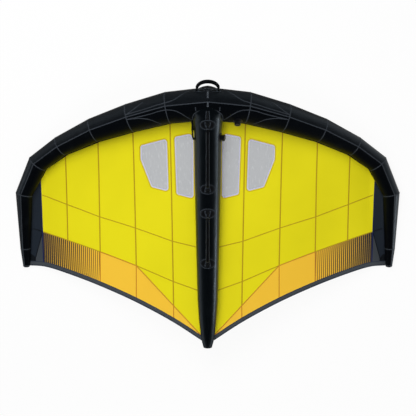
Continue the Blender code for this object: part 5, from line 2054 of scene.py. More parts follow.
def swept(draft: Draft, line: Sequence[Vector], sizes: Sequence[Pair], side: Vector, sides: int = 28,
          look: int = 0, square: float = 1.0) -> None:
    """Sweep an oval along a line and close its ends.

    Args:
        draft: The mesh that takes the shape.
        line: The oval's centre at each step.
        sizes: The oval's half width along side, and its half height, at each step.
        side: The direction of the oval's width, which stays as it is along the line.
        sides: How many corners the oval has.
        look: The number of its finish.
        square: 1 for an oval, and less for a flatter strap with round corners.
    """
    rows, spots = [], []
    run = 0.0
    for k, (spot, (wide, high)) in enumerate(zip(line, sizes)):
        way = (line[min(k + 1, len(line) - 1)] - line[max(k - 1, 0)]).normalized()
        across = (side - way * side.dot(way)).normalized()
        over = way.cross(across)
        row = []
        for n in range(sides):
            c, s = cos(FULL_TURN * n / sides), sin(FULL_TURN * n / sides)
            c, s = (abs(t) ** square * (1 if t > 0 else -1) for t in (c, s))
            row.append(spot + across * (c * wide) + over * (s * high))
        rows.append(row)
        run += (spot - line[k - 1]).length if k else 0.0
        spots.append([(run, (n / sides - 0.5) * 4 * wide) for n in range(sides + 1)])
    draft.grid(rows, spots, look)
    draft.close_ends(rows, look)


def rounded(wide: float, long: float, corner: float, steps: int = 5) -> list[Pair]:
    """Give an outline with round corners, about its middle.

    Args:
        wide: The first side's length.
        long: The second side's length.
        corner: The corners' radius.
        steps: How many steps a corner has.

    Returns:
        The outline's points.
    """
    points = []
    for quarter, (sx, sy) in enumerate(((1, 1), (-1, 1), (-1, -1), (1, -1))):
        for step in range(steps + 1):
            angle = (quarter + step / steps) * pi / 2
            points.append((sx * (wide / 2 - corner) + cos(angle) * corner,
                           sy * (long / 2 - corner) + sin(angle) * corner))
    return points


def oval(wide: float, long: float, sides: int = 48) -> list[Pair]:
    """Give an oval outline about its middle."""
    turns = [FULL_TURN * k / sides for k in range(sides)]
    return [(wide / 2 * cos(turn), long / 2 * sin(turn)) for turn in turns]


class Workbench:
    """Hand modelling with Blender's own operators."""

    @staticmethod
    def alone(piece: bpy.types.Object) -> None:
        """Select one piece and nothing else.

        Args:
            piece: The piece.
        """
        if bpy.context.object and bpy.context.object.mode != "OBJECT":
            bpy.ops.object.mode_set(mode="OBJECT")
        bpy.ops.object.select_all(action="DESELECT")
        piece.select_set(True)
        bpy.context.view_layer.objects.active = piece

    @staticmethod
    def turned(name: str, profile: Sequence[Pair], sides: int = 64) -> bpy.types.Object:
        """Spin a closed profile about Z in edit mode.

        Args:
            name: The piece's name.
            profile: Corners as radius and height, from the top of the axis to its foot, or a closed ring.
            sides: How many steps the spin has.

        Returns:
            The piece, at the origin.
        """
        bpy.ops.object.select_all(action="DESELECT")
        bpy.ops.mesh.primitive_circle_add(vertices=len(profile), radius=0.01)
        made = bpy.context.object
        made.name = made.data.name = name
        for vertex, (radius, height) in zip(made.data.vertices, profile):
            vertex.co = (radius, 0.0, height)
        on_axis = profile[0][0] == 0.0 and profile[-1][0] == 0.0
        bpy.ops.object.mode_set(mode="EDIT")
        shaper = bmesh.from_edit_mesh(made.data)
        if on_axis:
            shaper.verts.ensure_lookup_table()
            ends = {shaper.verts[0], shaper.verts[len(profile) - 1]}
            bmesh.ops.delete(shaper, geom=[e for e in shaper.edges if set(e.verts) == ends], context="EDGES")
            bmesh.update_edit_mesh(made.data)
        bpy.ops.mesh.select_all(action="SELECT")
        bpy.ops.mesh.spin(steps=sides, angle=FULL_TURN, center=(0, 0, 0), axis=(0, 0, 1))
        bpy.ops.mesh.select_all(action="SELECT")
        bpy.ops.mesh.remove_doubles(threshold=0.00001)
        bpy.ops.mesh.normals_make_consistent(inside=False)
        bpy.ops.object.mode_set(mode="OBJECT")
        return made

    @staticmethod
    def block(name: str, low: Colour, high: Colour) -> bpy.types.Object:
        """Add a block between two corners.

        Args:
            name: The piece's name.
            low: Its lowest corner.
            high: Its highest corner.

        Returns:
            The block.
        """
        bpy.ops.object.select_all(action="DESELECT")
        middle = [(a + b) / 2 for a, b in zip(low, high)]
        bpy.ops.mesh.primitive_cube_add(size=1.0, location=middle, scale=[b - a for a, b in zip(low, high)])
        made = bpy.context.object
        made.name = made.data.name = name
        bpy.ops.object.transform_apply(location=True, rotation=True, scale=True)
        return made

    @classmethod
    def pick_faces(cls, piece: bpy.types.Object, wanted: Callable[[Vector, Vector], bool]) -> None:
        """Enter edit mode and select the faces whose middle and normal pass a test.

        Args:
            piece: The piece.
            wanted: The test, which takes a face's middle and its normal.
        """
        cls.alone(piece)
        bpy.ops.object.mode_set(mode="EDIT")
        bpy.ops.mesh.select_mode(type="FACE")
        bpy.ops.mesh.select_all(action="DESELECT")
        shaper = bmesh.from_edit_mesh(piece.data)
        for face in shaper.faces:
            face.select_set(wanted(face.calc_center_median(), face.normal))
        bmesh.update_edit_mesh(piece.data)

    @classmethod
    def pressed(cls, piece: bpy.types.Object, wanted: Callable[[Vector, Vector], bool], edge: float,
                depth: float) -> None:
        """Inset each chosen face and push it in by a depth.

        Args:
            piece: The piece.
            wanted: The test, as in pick_faces.
            edge: The inset's width.
            depth: How far each face is pushed in.
        """
        cls.pick_faces(piece, wanted)
        bpy.ops.mesh.inset(thickness=edge, depth=-depth, use_individual=True, use_even_offset=True)
        bpy.ops.object.mode_set(mode="OBJECT")

    @classmethod
    def walled(cls, piece: bpy.types.Object, thickness: float) -> None:
        """Give a sheet a wall, half of it to each side, with an applied Solidify modifier.

        Args:
            piece: The sheet.
            thickness: The wall's thickness.
        """
        cls.alone(piece)
        wall = piece.modifiers.new("wall", "SOLIDIFY")
        wall.thickness = thickness
        wall.offset = 0.0
        bpy.ops.object.modifier_apply(modifier=wall.name)

    @classmethod
    def softened(cls, piece: bpy.types.Object, width: float, segments: int = 2, limit: float = 35.0) -> None:
        """Round the edges sharper than a limit, with an applied Bevel modifier, and smooth the rest.

        Args:
            piece: The piece.
            width: The rounding's width.
            segments: How many faces it has.
            limit: The limit in degrees.
        """
        cls.alone(piece)
        step = piece.modifiers.new("soften", "BEVEL")
        step.width = width
        step.segments = segments
        step.limit_method = "ANGLE"
        step.angle_limit = radians(limit)
        bpy.ops.object.modifier_apply(modifier=step.name)
        bpy.ops.object.shade_smooth_by_angle(angle=radians(40))

    @classmethod
    def joined(cls, name: str, pieces: Sequence[bpy.types.Object]) -> bpy.types.Object:
        """Join pieces into the first of them.

        Args:
            name: The joined piece's name.
            pieces: The pieces.

        Returns:
            The joined piece.
        """
        cls.alone(pieces[0])
        for piece in pieces:
            piece.select_set(True)
        bpy.ops.object.join()
        pieces[0].name = pieces[0].data.name = name
        return pieces[0]

    @staticmethod
    def seated(piece: bpy.types.Object, matrix: Matrix, finish: Finish) -> bpy.types.Object:
        """Put a piece's place in its mesh and give it its finish.

        Args:
            piece: The piece.
            matrix: Its place.
            finish: Its finish.

        Returns:
            The same piece.
        """
        piece.data.transform(matrix)
        piece.data.materials.clear()
        piece.data.materials.append(finish.material)
        return piece


@dataclass
class StrutHandle:
    """A handle on the strut: two sewn bases with their webbing loops, and the grip between them."""

    skin: StrutSkin
    label: str
    depths: Pair
    grip_radius: float = 0.0140
    foot_radius: float = 0.0072
    clearance: float = 0.050
    bend: float = 0.030
    end_length: float = 0.026
    base_wide: float = 0.131
    base_long: float = 0.080
    tab_wide: float = 0.046
    tab_long: float = 0.066
    loop_wide: float = 0.0110
    leg_ends: tuple[Pair, Pair] = ((0.027, 0.0095), (-0.022, 0.0200))
    leg_wide: float = 0.0110
    core_growth: Pair = (0.0046, 0.0012)
    foot_share: float = 0.82
    foam_taper: float = 0.22
    foam_round: float = 0.008
    foam_swell: float = 0.04
    # Where the two pale ridges sit on the grip, and their size: painted highlights along its edges
    highlight_ridge_angle: float = radians(62)
    highlight_ridge_size: Pair = (0.0013, 0.0011)

    @property
    def hinge(self) -> Matrix:
        """The hinge line's frame: X along it to the rear, Z away from the strut.

        Returns:
            The frame as a matrix.
        """
        joint = f"{self.label}_handle_swing"
        axis = joint_axis(joint).normalized()
        return frame_of(joint_place(joint), axis, UP - axis * UP.dot(axis))

    @property
    def length(self) -> float:
        """The hinge line's length between the two ends."""
        return (self.depths[1] - self.depths[0]) / abs(joint_axis(f"{self.label}_handle_swing").y)

    def staple(self) -> tuple[list[Vector], list[Pair]]:
        """Give the grip's line in the hinge's frame, and the half sizes of its core.

        Returns:
            The line's points, and the half width and half height at each.
        """
        foot, small, rise = self.end_length / 2, self.bend / 2, self.clearance + self.grip_radius
        points = [Vector((-foot + foot * 1.25 * k / 4, 0, 0)) for k in range(5)]
        centre = Vector((foot, 0, small))
        points += [centre + Vector((sin(a), 0, -cos(a))) * small for a in (pi / 2 * k / 8 for k in range(9))]
        corner = Vector((foot + small + self.bend, 0, rise - self.bend))
        turns = [pi / 2 * k / 10 for k in range(11)]
        points += [corner + Vector((-cos(a), 0, sin(a))) * self.bend for a in turns]
        grown = [held((k - 4) / 14) for k in range(len(points))]
        wider, flatter = self.core_growth
        sizes = [(self.foot_radius + wider * g, self.foot_radius - flatter * g) for g in grown]
        sizes[0] = (sizes[0][0] * self.foot_share, sizes[0][1] * self.foot_share)
        points += [Vector((self.length - p.x, 0, p.z)) for p in reversed(points)]
        return points, sizes + sizes[::-1]

    def core(self) -> bpy.types.Object:
        """Build the webbing core that turns down to both feet.

        Returns:
            The piece, at the origin.
        """
        line, sizes = self.staple()
        draft = Draft()
        hinge = self.hinge
        swept(draft, [hinge @ p for p in line], sizes, hinge.to_3x3() @ Vector((0, 1, 0)), sides=32)
        return draft.piece(f"{self.label}_handle_core", Finishes.webbing)

    def foam_line(self) -> tuple[list[Vector], list[float]]:
        """Give the foam's line in the hinge's frame, and its radius with rounded ends.

        Returns:
            The line's points, and the radius at each.
        """
        line, _ = self.staple()
        steps = 40
        flat = [p for p in line[17:-17] if p.x <= self.end_length / 2 + self.bend * 1.5 + 1e-6]
        tail = [Vector((self.length - p.x, 0, p.z)) for p in reversed(flat)]
        run = [flat[-1].lerp(tail[0], k / steps) for k in range(1, steps)]
        points = flat + run + tail
        reach = [0.0]
        for a, b in zip(points, points[1:]):
            reach.append(reach[-1] + (b - a).length)
        total = reach[-1]
        radii = []
        for r in reach:
            edge = min(r, total - r)
            swell = 1.0 - self.foam_swell * cos(FULL_TURN * 3 * r / total)
            full = 1 - self.foam_taper + self.foam_taper * sqrt(held(edge / self.foam_round))
            radii.append(self.grip_radius * full * min(swell, 1.0))
        return points, radii

    def foam(self) -> bpy.types.Object:
        """Build the foam sleeve over the core.

        Returns:
            The piece, at the origin.
        """
        line, radii = self.foam_line()
        draft = Draft()
        hinge = self.hinge
        swept(draft, [hinge @ p for p in line], [(r, r * 0.97) for r in radii],
              hinge.to_3x3() @ Vector((0, 1, 0)), sides=36)
        return draft.piece(f"{self.label}_handle_foam", Finishes.foam)

    def piping_and_painted_highlight(self) -> bpy.types.Object:
        """Build two pale ridges along the foam's sides, which are painted highlights on the grip's edges, and
        the pale cuff at each of its ends.

        Returns:
            The piece, at the origin.
        """
        line, radii = self.foam_line()
        draft = Draft()
        hinge = self.hinge
        turn = hinge.to_3x3()
        # Each ridge is a painted highlight along one edge of the grip
        for sign in (-1, 1):
            off = Vector((0, sign * sin(self.highlight_ridge_angle), cos(self.highlight_ridge_angle)))
            ridge = [hinge @ (p + off * (r * 0.985)) for p, r in zip(line, radii)][3:-3]
            swept(draft, ridge, [self.highlight_ridge_size] * len(ridge), turn @ Vector((0, 1, 0)), sides=8)
        for first in (slice(0, 4), slice(-4, None)):
            cuff, sizes = line[first], radii[first]
            mid = sum(sizes) / len(sizes)
            swept(draft, [hinge @ p for p in cuff], [(mid * 1.02, mid * 0.99)] * len(cuff),
                  turn @ Vector((0, 1, 0)), sides=32)
        return draft.piece(f"{self.label}_handle_piping_and_highlight", Finishes.piping_and_painted_highlight)

    def base(self, depth: float, name: str) -> bpy.types.Object:
        """Build the oval patch, its stitched edge and the webbing tab sewn on it.

        Args:
            depth: The base's depth along the strut.
            name: The piece's name.

        Returns:
            The piece.
        """
        draft = Draft()
        spot = (depth, pi / 2)
        self.skin.pad(draft, spot, oval(self.base_long, self.base_wide, 56), 0.0015, rings=8)
        _, _, along, across = self.skin.local(*spot)
        edge = oval(self.base_long * 0.95, self.base_wide * 0.95, 72)
        line = [(spot[0] + p / along.length, spot[1] + q / across.length) for p, q in [*edge, *edge[:2]]]
        self.skin.tape(draft, line, 0.0048, 0.0021, look=1, sink=-0.0012)
        self.skin.pad(draft, spot, rounded(self.tab_long, self.tab_wide, self.tab_wide / 3), 0.0026, look=2,
                      sink=-0.001, rings=5)
        towards = 1 if name.endswith("fore") else -1
        (near, tight), (far, open_) = self.leg_ends
        for side in (-1, 1):
            leg = []
            for k in range(13):
                t = k / 12
                p, q = near + (far - near) * t, tight + (open_ - tight) * eased(t, 0.0, 0.85)
                leg.append((spot[0] + towards * p / along.length, spot[1] + side * q / across.length))
            self.skin.tape(draft, leg, self.leg_wide, 0.0042, look=3, sink=-0.002)
        return draft.piece(name, Finishes.patch, Finishes.patch_edge, Finishes.webbing, Finishes.pale_webbing)

    def loop(self, end: Vector, name: str) -> bpy.types.Object:
        """Build the webbing loop that holds one foot of the grip down on its tab.

        Args:
            end: The foot's place in the hinge's frame.
            name: The piece's name.

        Returns:
            The piece.
        """
        hinge = self.hinge
        over, out = self.foot_radius + 0.0014, self.tab_wide / 2 - 0.004
        drop = -(self.foot_radius + 0.0016)
        shape = [(-out, drop), (-out * 0.72, drop + 0.0004), (-over * 1.12, drop * 0.62)]
        shape += [(over * sin(a), over * cos(a)) for a in (radians(-84 + 12 * k) for k in range(15))]
        shape += [(over * 1.12, drop * 0.62), (out * 0.72, drop + 0.0004), (out, drop)]
        line = [hinge @ (end + Vector((0, y, z))) for y, z in shape]
        draft = Draft()
        swept(draft, line, [(self.loop_wide / 2, 0.0009)] * len(line), hinge.to_3x3() @ Vector((1, 0, 0)),
              sides=12, square=0.45)
        return draft.piece(name, Finishes.webbing)

    def build(self) -> None:
        """Build and dress every piece."""
        body = f"{self.label}_handle"
        dress(self.core(), body, Finishes.webbing, f"{self.label}_handle_grip")
        foam = dress(self.foam(), body, Finishes.foam)
        # Painted highlights: pale ridges along the grip's edges, with pale cuffs
        dress(self.piping_and_painted_highlight(), body, Finishes.piping_and_painted_highlight)
        shift = self.end_length / 4 - 0.0005
        ends = (("fore", self.depths[0], -shift), ("aft", self.depths[1], self.length + shift))
        for side, depth, x in ends:
            node = f"{self.label}_handle_patch_{side}"
            dress(self.base(depth, f"{self.label}_handle_base_{side}"), "airframe", Finishes.patch, node)
            loop = self.loop(Vector((x, 0, 0)), f"{self.label}_handle_loop_{side}")
            dress(loop, "airframe", Finishes.webbing)


@dataclass
class GrabHandle:
    """The loop at the front of the leading edge: strap, padded sleeve with its seam, patch and padded bumper.
    """

    skin: TubeSkin
    half_width: float = 0.0865
    height: float = 0.0775
    power: float = 0.8
    angle: float = radians(30)
    strap: Pair = (0.0072, 0.0080)
    pad_side: Pair = (0.0092, 0.0118)
    pad_thick: Pair = (0.0112, 0.0165)
    pad_start: float = radians(9)
    pad_taper: float = 0.28
    seam_size: Pair = (0.0022, 0.0007)
    bumper_size: Colour = (0.146, 0.056, 0.013)
    bumper_angle: float = radians(10)
    patch_wide: float = 0.215
    patch_long: float = 0.038

    @property
    def hinge(self) -> Matrix:
        """The strap's frame: X along the span, Z away from the leading edge."""
        place = joint_place("leading_edge_handle_swing")
        return frame_of(place, Vector((1, 0, 0)), Vector((0, cos(self.angle), sin(self.angle))))

    def arch(self, low: float, high: float, steps: int) -> list[Vector]:
        """Give points of the arch between two angles, in the strap's frame.

        Args:
            low: The first angle.
            high: The last angle.
            steps: How many steps.

        Returns:
            The points.
        """
        made = []
        for k in range(steps + 1):
            a = low + (high - low) * k / steps
            made.append(Vector((-self.half_width * cos(a), 0, self.height * abs(sin(a)) ** self.power)))
        return made

    def loop(self) -> bpy.types.Object:
        """Build the webbing strap, down to its rounded feet.

        Returns:
            The piece, at the origin.
        """
        arch = self.arch(radians(2), radians(178), 56)
        wide, high = self.strap
        turns = [radians(a) for a in (75, 50, 22)]
        tips = [Vector((-self.half_width, 0, -wide * sin(a))) for a in turns]
        ends = [Vector((-p.x, 0, p.z)) for p in reversed(tips)]
        taper = [cos(a) for a in turns]
        sizes = [(wide * t, high * t) for t in taper] + [(wide, high)] * len(arch)
        sizes += [(wide * t, high * t) for t in reversed(taper)]
        hinge = self.hinge
        draft = Draft()
        swept(draft, [hinge @ p for p in [*tips, *arch, *ends]], sizes, hinge.to_3x3() @ Vector((0, 1, 0)),
              sides=24, square=0.75)
        return draft.piece("grab_handle_strap", Finishes.webbing)

    def padding(self, steps: int) -> tuple[list[Vector], list[Pair]]:
        """Give the padded sleeve's line, and its half sizes across and in the arch's plane.

        Args:
            steps: How many steps the line has.

        Returns:
            The line's points, and the two half sizes at each.
        """
        line = self.arch(self.pad_start, pi - self.pad_start, steps)
        sizes = []
        for k in range(steps + 1):
            full = sin(pi * k / steps) ** 0.8
            end = 1 - self.pad_taper + self.pad_taper * sqrt(held(min(k, steps - k) / 3))
            sizes.append(tuple((low + (high - low) * full) * end
                               for low, high in (self.pad_side, self.pad_thick)))
        return line, sizes

    def sleeve(self) -> bpy.types.Object:
        """Build the padded sleeve round the middle of the strap.

        Returns:
            The piece, at the origin.
        """
        line, sizes = self.padding(56)
        hinge = self.hinge
        draft = Draft()
        swept(draft, [hinge @ p for p in line], sizes, hinge.to_3x3() @ Vector((0, 1, 0)), sides=32)
        return draft.piece("grab_handle_sleeve", Finishes.foam)

    def seam(self) -> bpy.types.Object:
        """Build the sewn ridge along the inside of the padded sleeve.

        Returns:
            The piece, at the origin.
        """
        line, sizes = self.padding(56)
        hinge = self.hinge
        ridge = []
        for k, p in list(enumerate(line))[3:-3]:
            way = (line[k + 1] - line[k - 1]).normalized()
            ridge.append(hinge @ (p + Vector((way.z, 0, -way.x)) * (sizes[k][1] * 0.99)))
        draft = Draft()
        swept(draft, ridge, [self.seam_size] * len(ridge), hinge.to_3x3() @ Vector((0, 1, 0)), sides=8)
        return draft.piece("grab_handle_sleeve_seam", Finishes.piping_and_painted_highlight)

    def base(self) -> bpy.types.Object:
        """Build the long patch on the leading edge, with its stitched edge.

        Returns:
            The piece, at the origin.
        """
        draft = Draft()
        spot = (0.0, self.angle)
        shape = rounded(self.patch_wide, self.patch_long, self.patch_long / 3, 6)
        dense_shape = [(p.x, p.y) for p in dense([Vector(q) for q in shape], 0.006)]
        self.skin.pad(draft, spot, dense_shape, 0.0011, rings=6)
        edge = rounded(self.patch_wide - 0.010, self.patch_long - 0.010, self.patch_long / 4, 6)
        edge = dense([Vector(q) for q in edge], 0.006)
        _, _, along, across = self.skin.local(*spot)
        line = [(spot[0] + p.x / along.length, spot[1] + p.y / across.length) for p in [*edge, *edge[:2]]]
        self.skin.tape(draft, line, 0.004, 0.0016, look=1, sink=-0.0008)
        return draft.piece("grab_handle_base", Finishes.patch, Finishes.patch_edge)

    def bumper(self) -> bpy.types.Object:
        """Build the padded patch that stands proud in front of the handle.

        Returns:
            The piece, at the origin.
        """
        draft = Draft()
        wide, long, crown = self.bumper_size
        shape = [(p.x, p.y) for p in dense([Vector(q) for q in rounded(wide, long, long * 0.45, 6)], 0.006)]
        self.skin.pad(draft, (0.0, self.bumper_angle), shape, 0.0012, rings=10, crown=crown)
        return draft.piece("grab_handle_bumper", Finishes.bumper)

    def build(self) -> None:
        """Build and dress every piece."""
        body = "leading_edge_handle"
        dress(self.loop(), body, Finishes.webbing, "leading_edge_handle_strap")
        sleeve = dress(self.sleeve(), body, Finishes.foam, "leading_edge_handle_pad")
        dress(self.seam(), body, Finishes.piping_and_painted_highlight)
        dress(self.base(), "airframe", Finishes.patch, "leading_edge_handle_patch")
        dress(self.bumper(), "airframe", Finishes.bumper)


@dataclass
class Valve:
    """An air valve: welded flange and barrel, one-way plunger, and ribbed cap."""

    skin: Skin
    label: str
    place: Vector
    guess: Pair
    flange: float = 0.0400
    barrel: float = 0.0220
    bore: float = 0.0160
    barrel_height: float = 0.030
    barrel_depth: float = 0.022
    cap_radius: float = 0.0252
    cap_height: float = 0.020
    ribs: int = 24
    groove_share: float = 0.34
    welds: tuple[Pair, ...] = ((0.0375, 0.0030), (0.0300, 0.0028))

    @property
    def seat(self) -> Matrix:
        """The valve's frame, with Z out of the skin."""
        out = joint_axis(f"{self.label}_cap_turn")
        return frame_of(self.place, Vector((1, 0, 0)) if abs(out.x) < 0.7 else Vector((0, 1, 0)), out)

    def base(self) -> bpy.types.Object:
        """Build the barrel with its collar, and the seat's hub and ribs inside it.

        Returns:
            The piece, at the origin.
        """
        b, r = self.barrel, self.bore
        wall = [(r, self.barrel_height), (b - 0.0006, self.barrel_height), (b, self.barrel_height - 0.0008),
                (b, 0.0085), (b + 0.0030, 0.0070), (b + 0.0036, 0.0030), (b + 0.0036, -0.0020), (b, -0.0030),
                (b, -self.barrel_depth), (r, -self.barrel_depth), (r, -0.004), (0.012, -0.004),
                (0.012, 0.004), (r, 0.004)]
        pieces = [Workbench.turned(f"{self.label}_barrel", wall)]
        hub = [(0.0042, 0.004), (0.0042, -0.004), (0.0023, -0.004), (0.0023, 0.004)]
        pieces.append(Workbench.turned(f"{self.label}_hub", hub, 32))
        rib = Workbench.block(f"{self.label}_rib", (0.0038, -0.0015, -0.004), (0.0124, 0.0015, 0.004))
        for k in range(4):
            copy = rib.copy() if k else rib
            if k:
                copy.data = rib.data.copy()
                bpy.context.scene.collection.objects.link(copy)
            pieces.append(copy)
        for k, copy in enumerate(pieces[2:]):
            copy.data.transform(Matrix.Rotation(FULL_TURN * k / 4, 4, "Z"))
        made = Workbench.joined(f"{self.label}_barrel", pieces)
        Workbench.softened(made, 0.0003)
        return Workbench.seated(made, self.seat, Finishes.plastic)

    def skirt(self) -> bpy.types.Object:
        """Build the flange that is welded to the cloth, with its raised ring.

        Returns:
            The piece, at the origin.
        """
        draft = Draft()
        u, v = self.skin.find(self.place, *self.guess)
        self.skin.pad(draft, (u, v), oval(2 * self.flange, 2 * self.flange, 64), 0.0022, rings=6)
        _, _, along, across = self.skin.local(u, v)
        for radius, height in self.welds:
            turns = [FULL_TURN * k / 64 for k in range(66)]
            line = [(u + radius * cos(t) / along.length, v + radius * sin(t) / across.length) for t in turns]
            self.skin.tape(draft, line, 0.0022, height, sink=-0.0015)
        return draft.piece(f"{self.label}_flange", Finishes.rubber)

    def plunger(self) -> bpy.types.Object:
        """Build the one-way disc, its soft rim and its stem.

        Returns:
            The piece, at the origin.
        """
        profile = [(0.0, 0.024), (0.0014, 0.024), (0.0020, 0.0234), (0.0020, -0.0043), (0.0110, -0.0043),
                   (0.0122, -0.0047), (0.0146, -0.0046), (0.0148, -0.0060), (0.0130, -0.0072), (0.0, -0.0073)]
        made = Workbench.turned(f"{self.label}_disc", profile, 48)
        Workbench.softened(made, 0.0002)
        return Workbench.seated(made, self.seat, Finishes.plastic)

    def cap(self) -> bpy.types.Object:
        """Build the cap, with finger ribs round its edge and a sunk disc on its crown.

        Returns:
            The piece, at the origin.
        """
        top = self.barrel_height + 0.0003
        crown, rim = top + 0.003, top + 0.003 - self.cap_height
        skirt, plug = self.barrel + 0.0006, self.bore - 0.0006
        out = self.cap_radius
        profile = [(0.0, crown - 0.0012), (0.0130, crown - 0.0012), (0.0145, crown), (out - 0.0026, crown),
                   (out - 0.0008, crown - 0.0008), (out, crown - 0.0026), (out, rim + 0.0026),
                   (out + 0.0003, rim + 0.0016), (out + 0.0003, rim), (skirt, rim), (skirt, top), (plug, top),
                   (plug, top - 0.003), (plug - 0.003, top - 0.003), (plug - 0.003, top + 0.001),
                   (0.0, top + 0.001)]
        made = Workbench.turned(f"{self.label}_cap_body", profile, self.ribs * 3)
        span = FULL_TURN / self.ribs

        def groove(middle: Vector, normal: Vector) -> bool:
            """Say whether a face is one of the side's grooves.

            Args:
                middle: The face's middle.
                normal: The face's normal.

            Returns:
                Whether it is.
            """
            flat = Vector((middle.x, middle.y))
            on_side = abs(normal.z) <= 0.2 and flat.length >= out - 0.0006
            if not on_side or not rim + 0.003 < middle.z < crown - 0.003:
                return False
            return (atan2(middle.y, middle.x) / span) % 1.0 < self.groove_share

        Workbench.pressed(made, groove, 0.0003, 0.0007)
        Workbench.softened(made, 0.00025)
        return Workbench.seated(made, self.seat, Finishes.plastic)

    def build(self) -> None:
        """Build and dress every piece."""
        dress(self.base(), "airframe", Finishes.plastic, f"{self.label}_base")
        dress(self.skirt(), "airframe", Finishes.rubber)
        dress(self.plunger(), f"{self.label}_plunger", Finishes.plastic, f"{self.label}_plunger")
        dress(self.cap(), f"{self.label}_cap", Finishes.plastic, f"{self.label}_cap")


@dataclass
class LinkHose:
    """The air hose from the leading edge to the strut, with a barbed fitting at each end."""

    start: Vector
    start_out: Vector
    end: Vector
    end_out: Vector
    radius: float = 0.0060
    reach: float = 0.046
    end_reach: float = 0.022
    collar_radius: float = 0.0096
    collar_height: float = 0.0060

    def line(self) -> list[Vector]:
        """Give the hose's middle line.

        Returns:
            The line's points, from the front fitting to the strut's.
        """
        arms = (self.start + self.start_out * self.collar_height, self.start + self.start_out * self.reach,
                self.end + self.end_out * self.end_reach, self.end + self.end_out * self.collar_height)
        points = []
        for k in range(49):
            t = k / 48
            weights = ((1 - t) ** 3, 3 * t * (1 - t) ** 2, 3 * t * t * (1 - t), t ** 3)
            points.append(sum((arm * weight for arm, weight in zip(arms, weights)), Vector()))
        return points

    def tube(self) -> bpy.types.Object:
        """Build the hose.

        Returns:
            The piece, at the origin.
        """
        line = [self.start + self.start_out * 0.002, *self.line(), self.end + self.end_out * 0.002]
        draft = Draft()
        swept(draft, line, [(self.radius, self.radius)] * len(line), Vector((0.3, 0.2, 1.0)), sides=24)
        return draft.piece("link_hose_tube", Finishes.rubber)

    def fitting(self, name: str, place: Vector, out: Vector) -> bpy.types.Object:
        """Build one fitting: a welded foot, a collar and the ring that clamps the hose.

        Args:
            name: The piece's name.
            place: Where it stands.
            out: The way out of the cloth.

        Returns:
            The piece.
        """
        inner, wide = self.radius + 0.0001, self.collar_radius
        profile = [(inner, 0.0150), (inner + 0.0014, 0.0150), (inner + 0.0018, 0.0140),
                   (inner + 0.0018, 0.0105), (inner + 0.0010, 0.0098),
                   (inner + 0.0010, 0.0068), (wide, 0.0056), (wide, 0.0014),
                   (wide + 0.0040, 0.0008), (wide + 0.0044, -0.0010), (inner, -0.0010)]
        made = Workbench.turned(name, profile, 40)
        Workbench.softened(made, 0.0002)
        return Workbench.seated(made, frame_of(place, Vector((0, 0, 1)), out), Finishes.plastic)

    def build(self) -> None:
        """Build and dress every piece."""
        dress(self.tube(), "airframe", Finishes.rubber, "link_hose")
        for name, place, out in (("link_hose_front_fitting", self.start, self.start_out),
                                 ("link_hose_strut_fitting", self.end, self.end_out)):
            dress(self.fitting(name, place, out), "airframe", Finishes.plastic)


def keep_nodes(finish: Finish, *names: str) -> None:
    """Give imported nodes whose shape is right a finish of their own.

    Args:
        finish: The finish.
        names: The nodes' names.
    """
    for name in names:
        node = frame["nodes"][name]
        for slot in node.material_slots:
            slot.material = finish.material
        LOG.info("%s: kept", name)


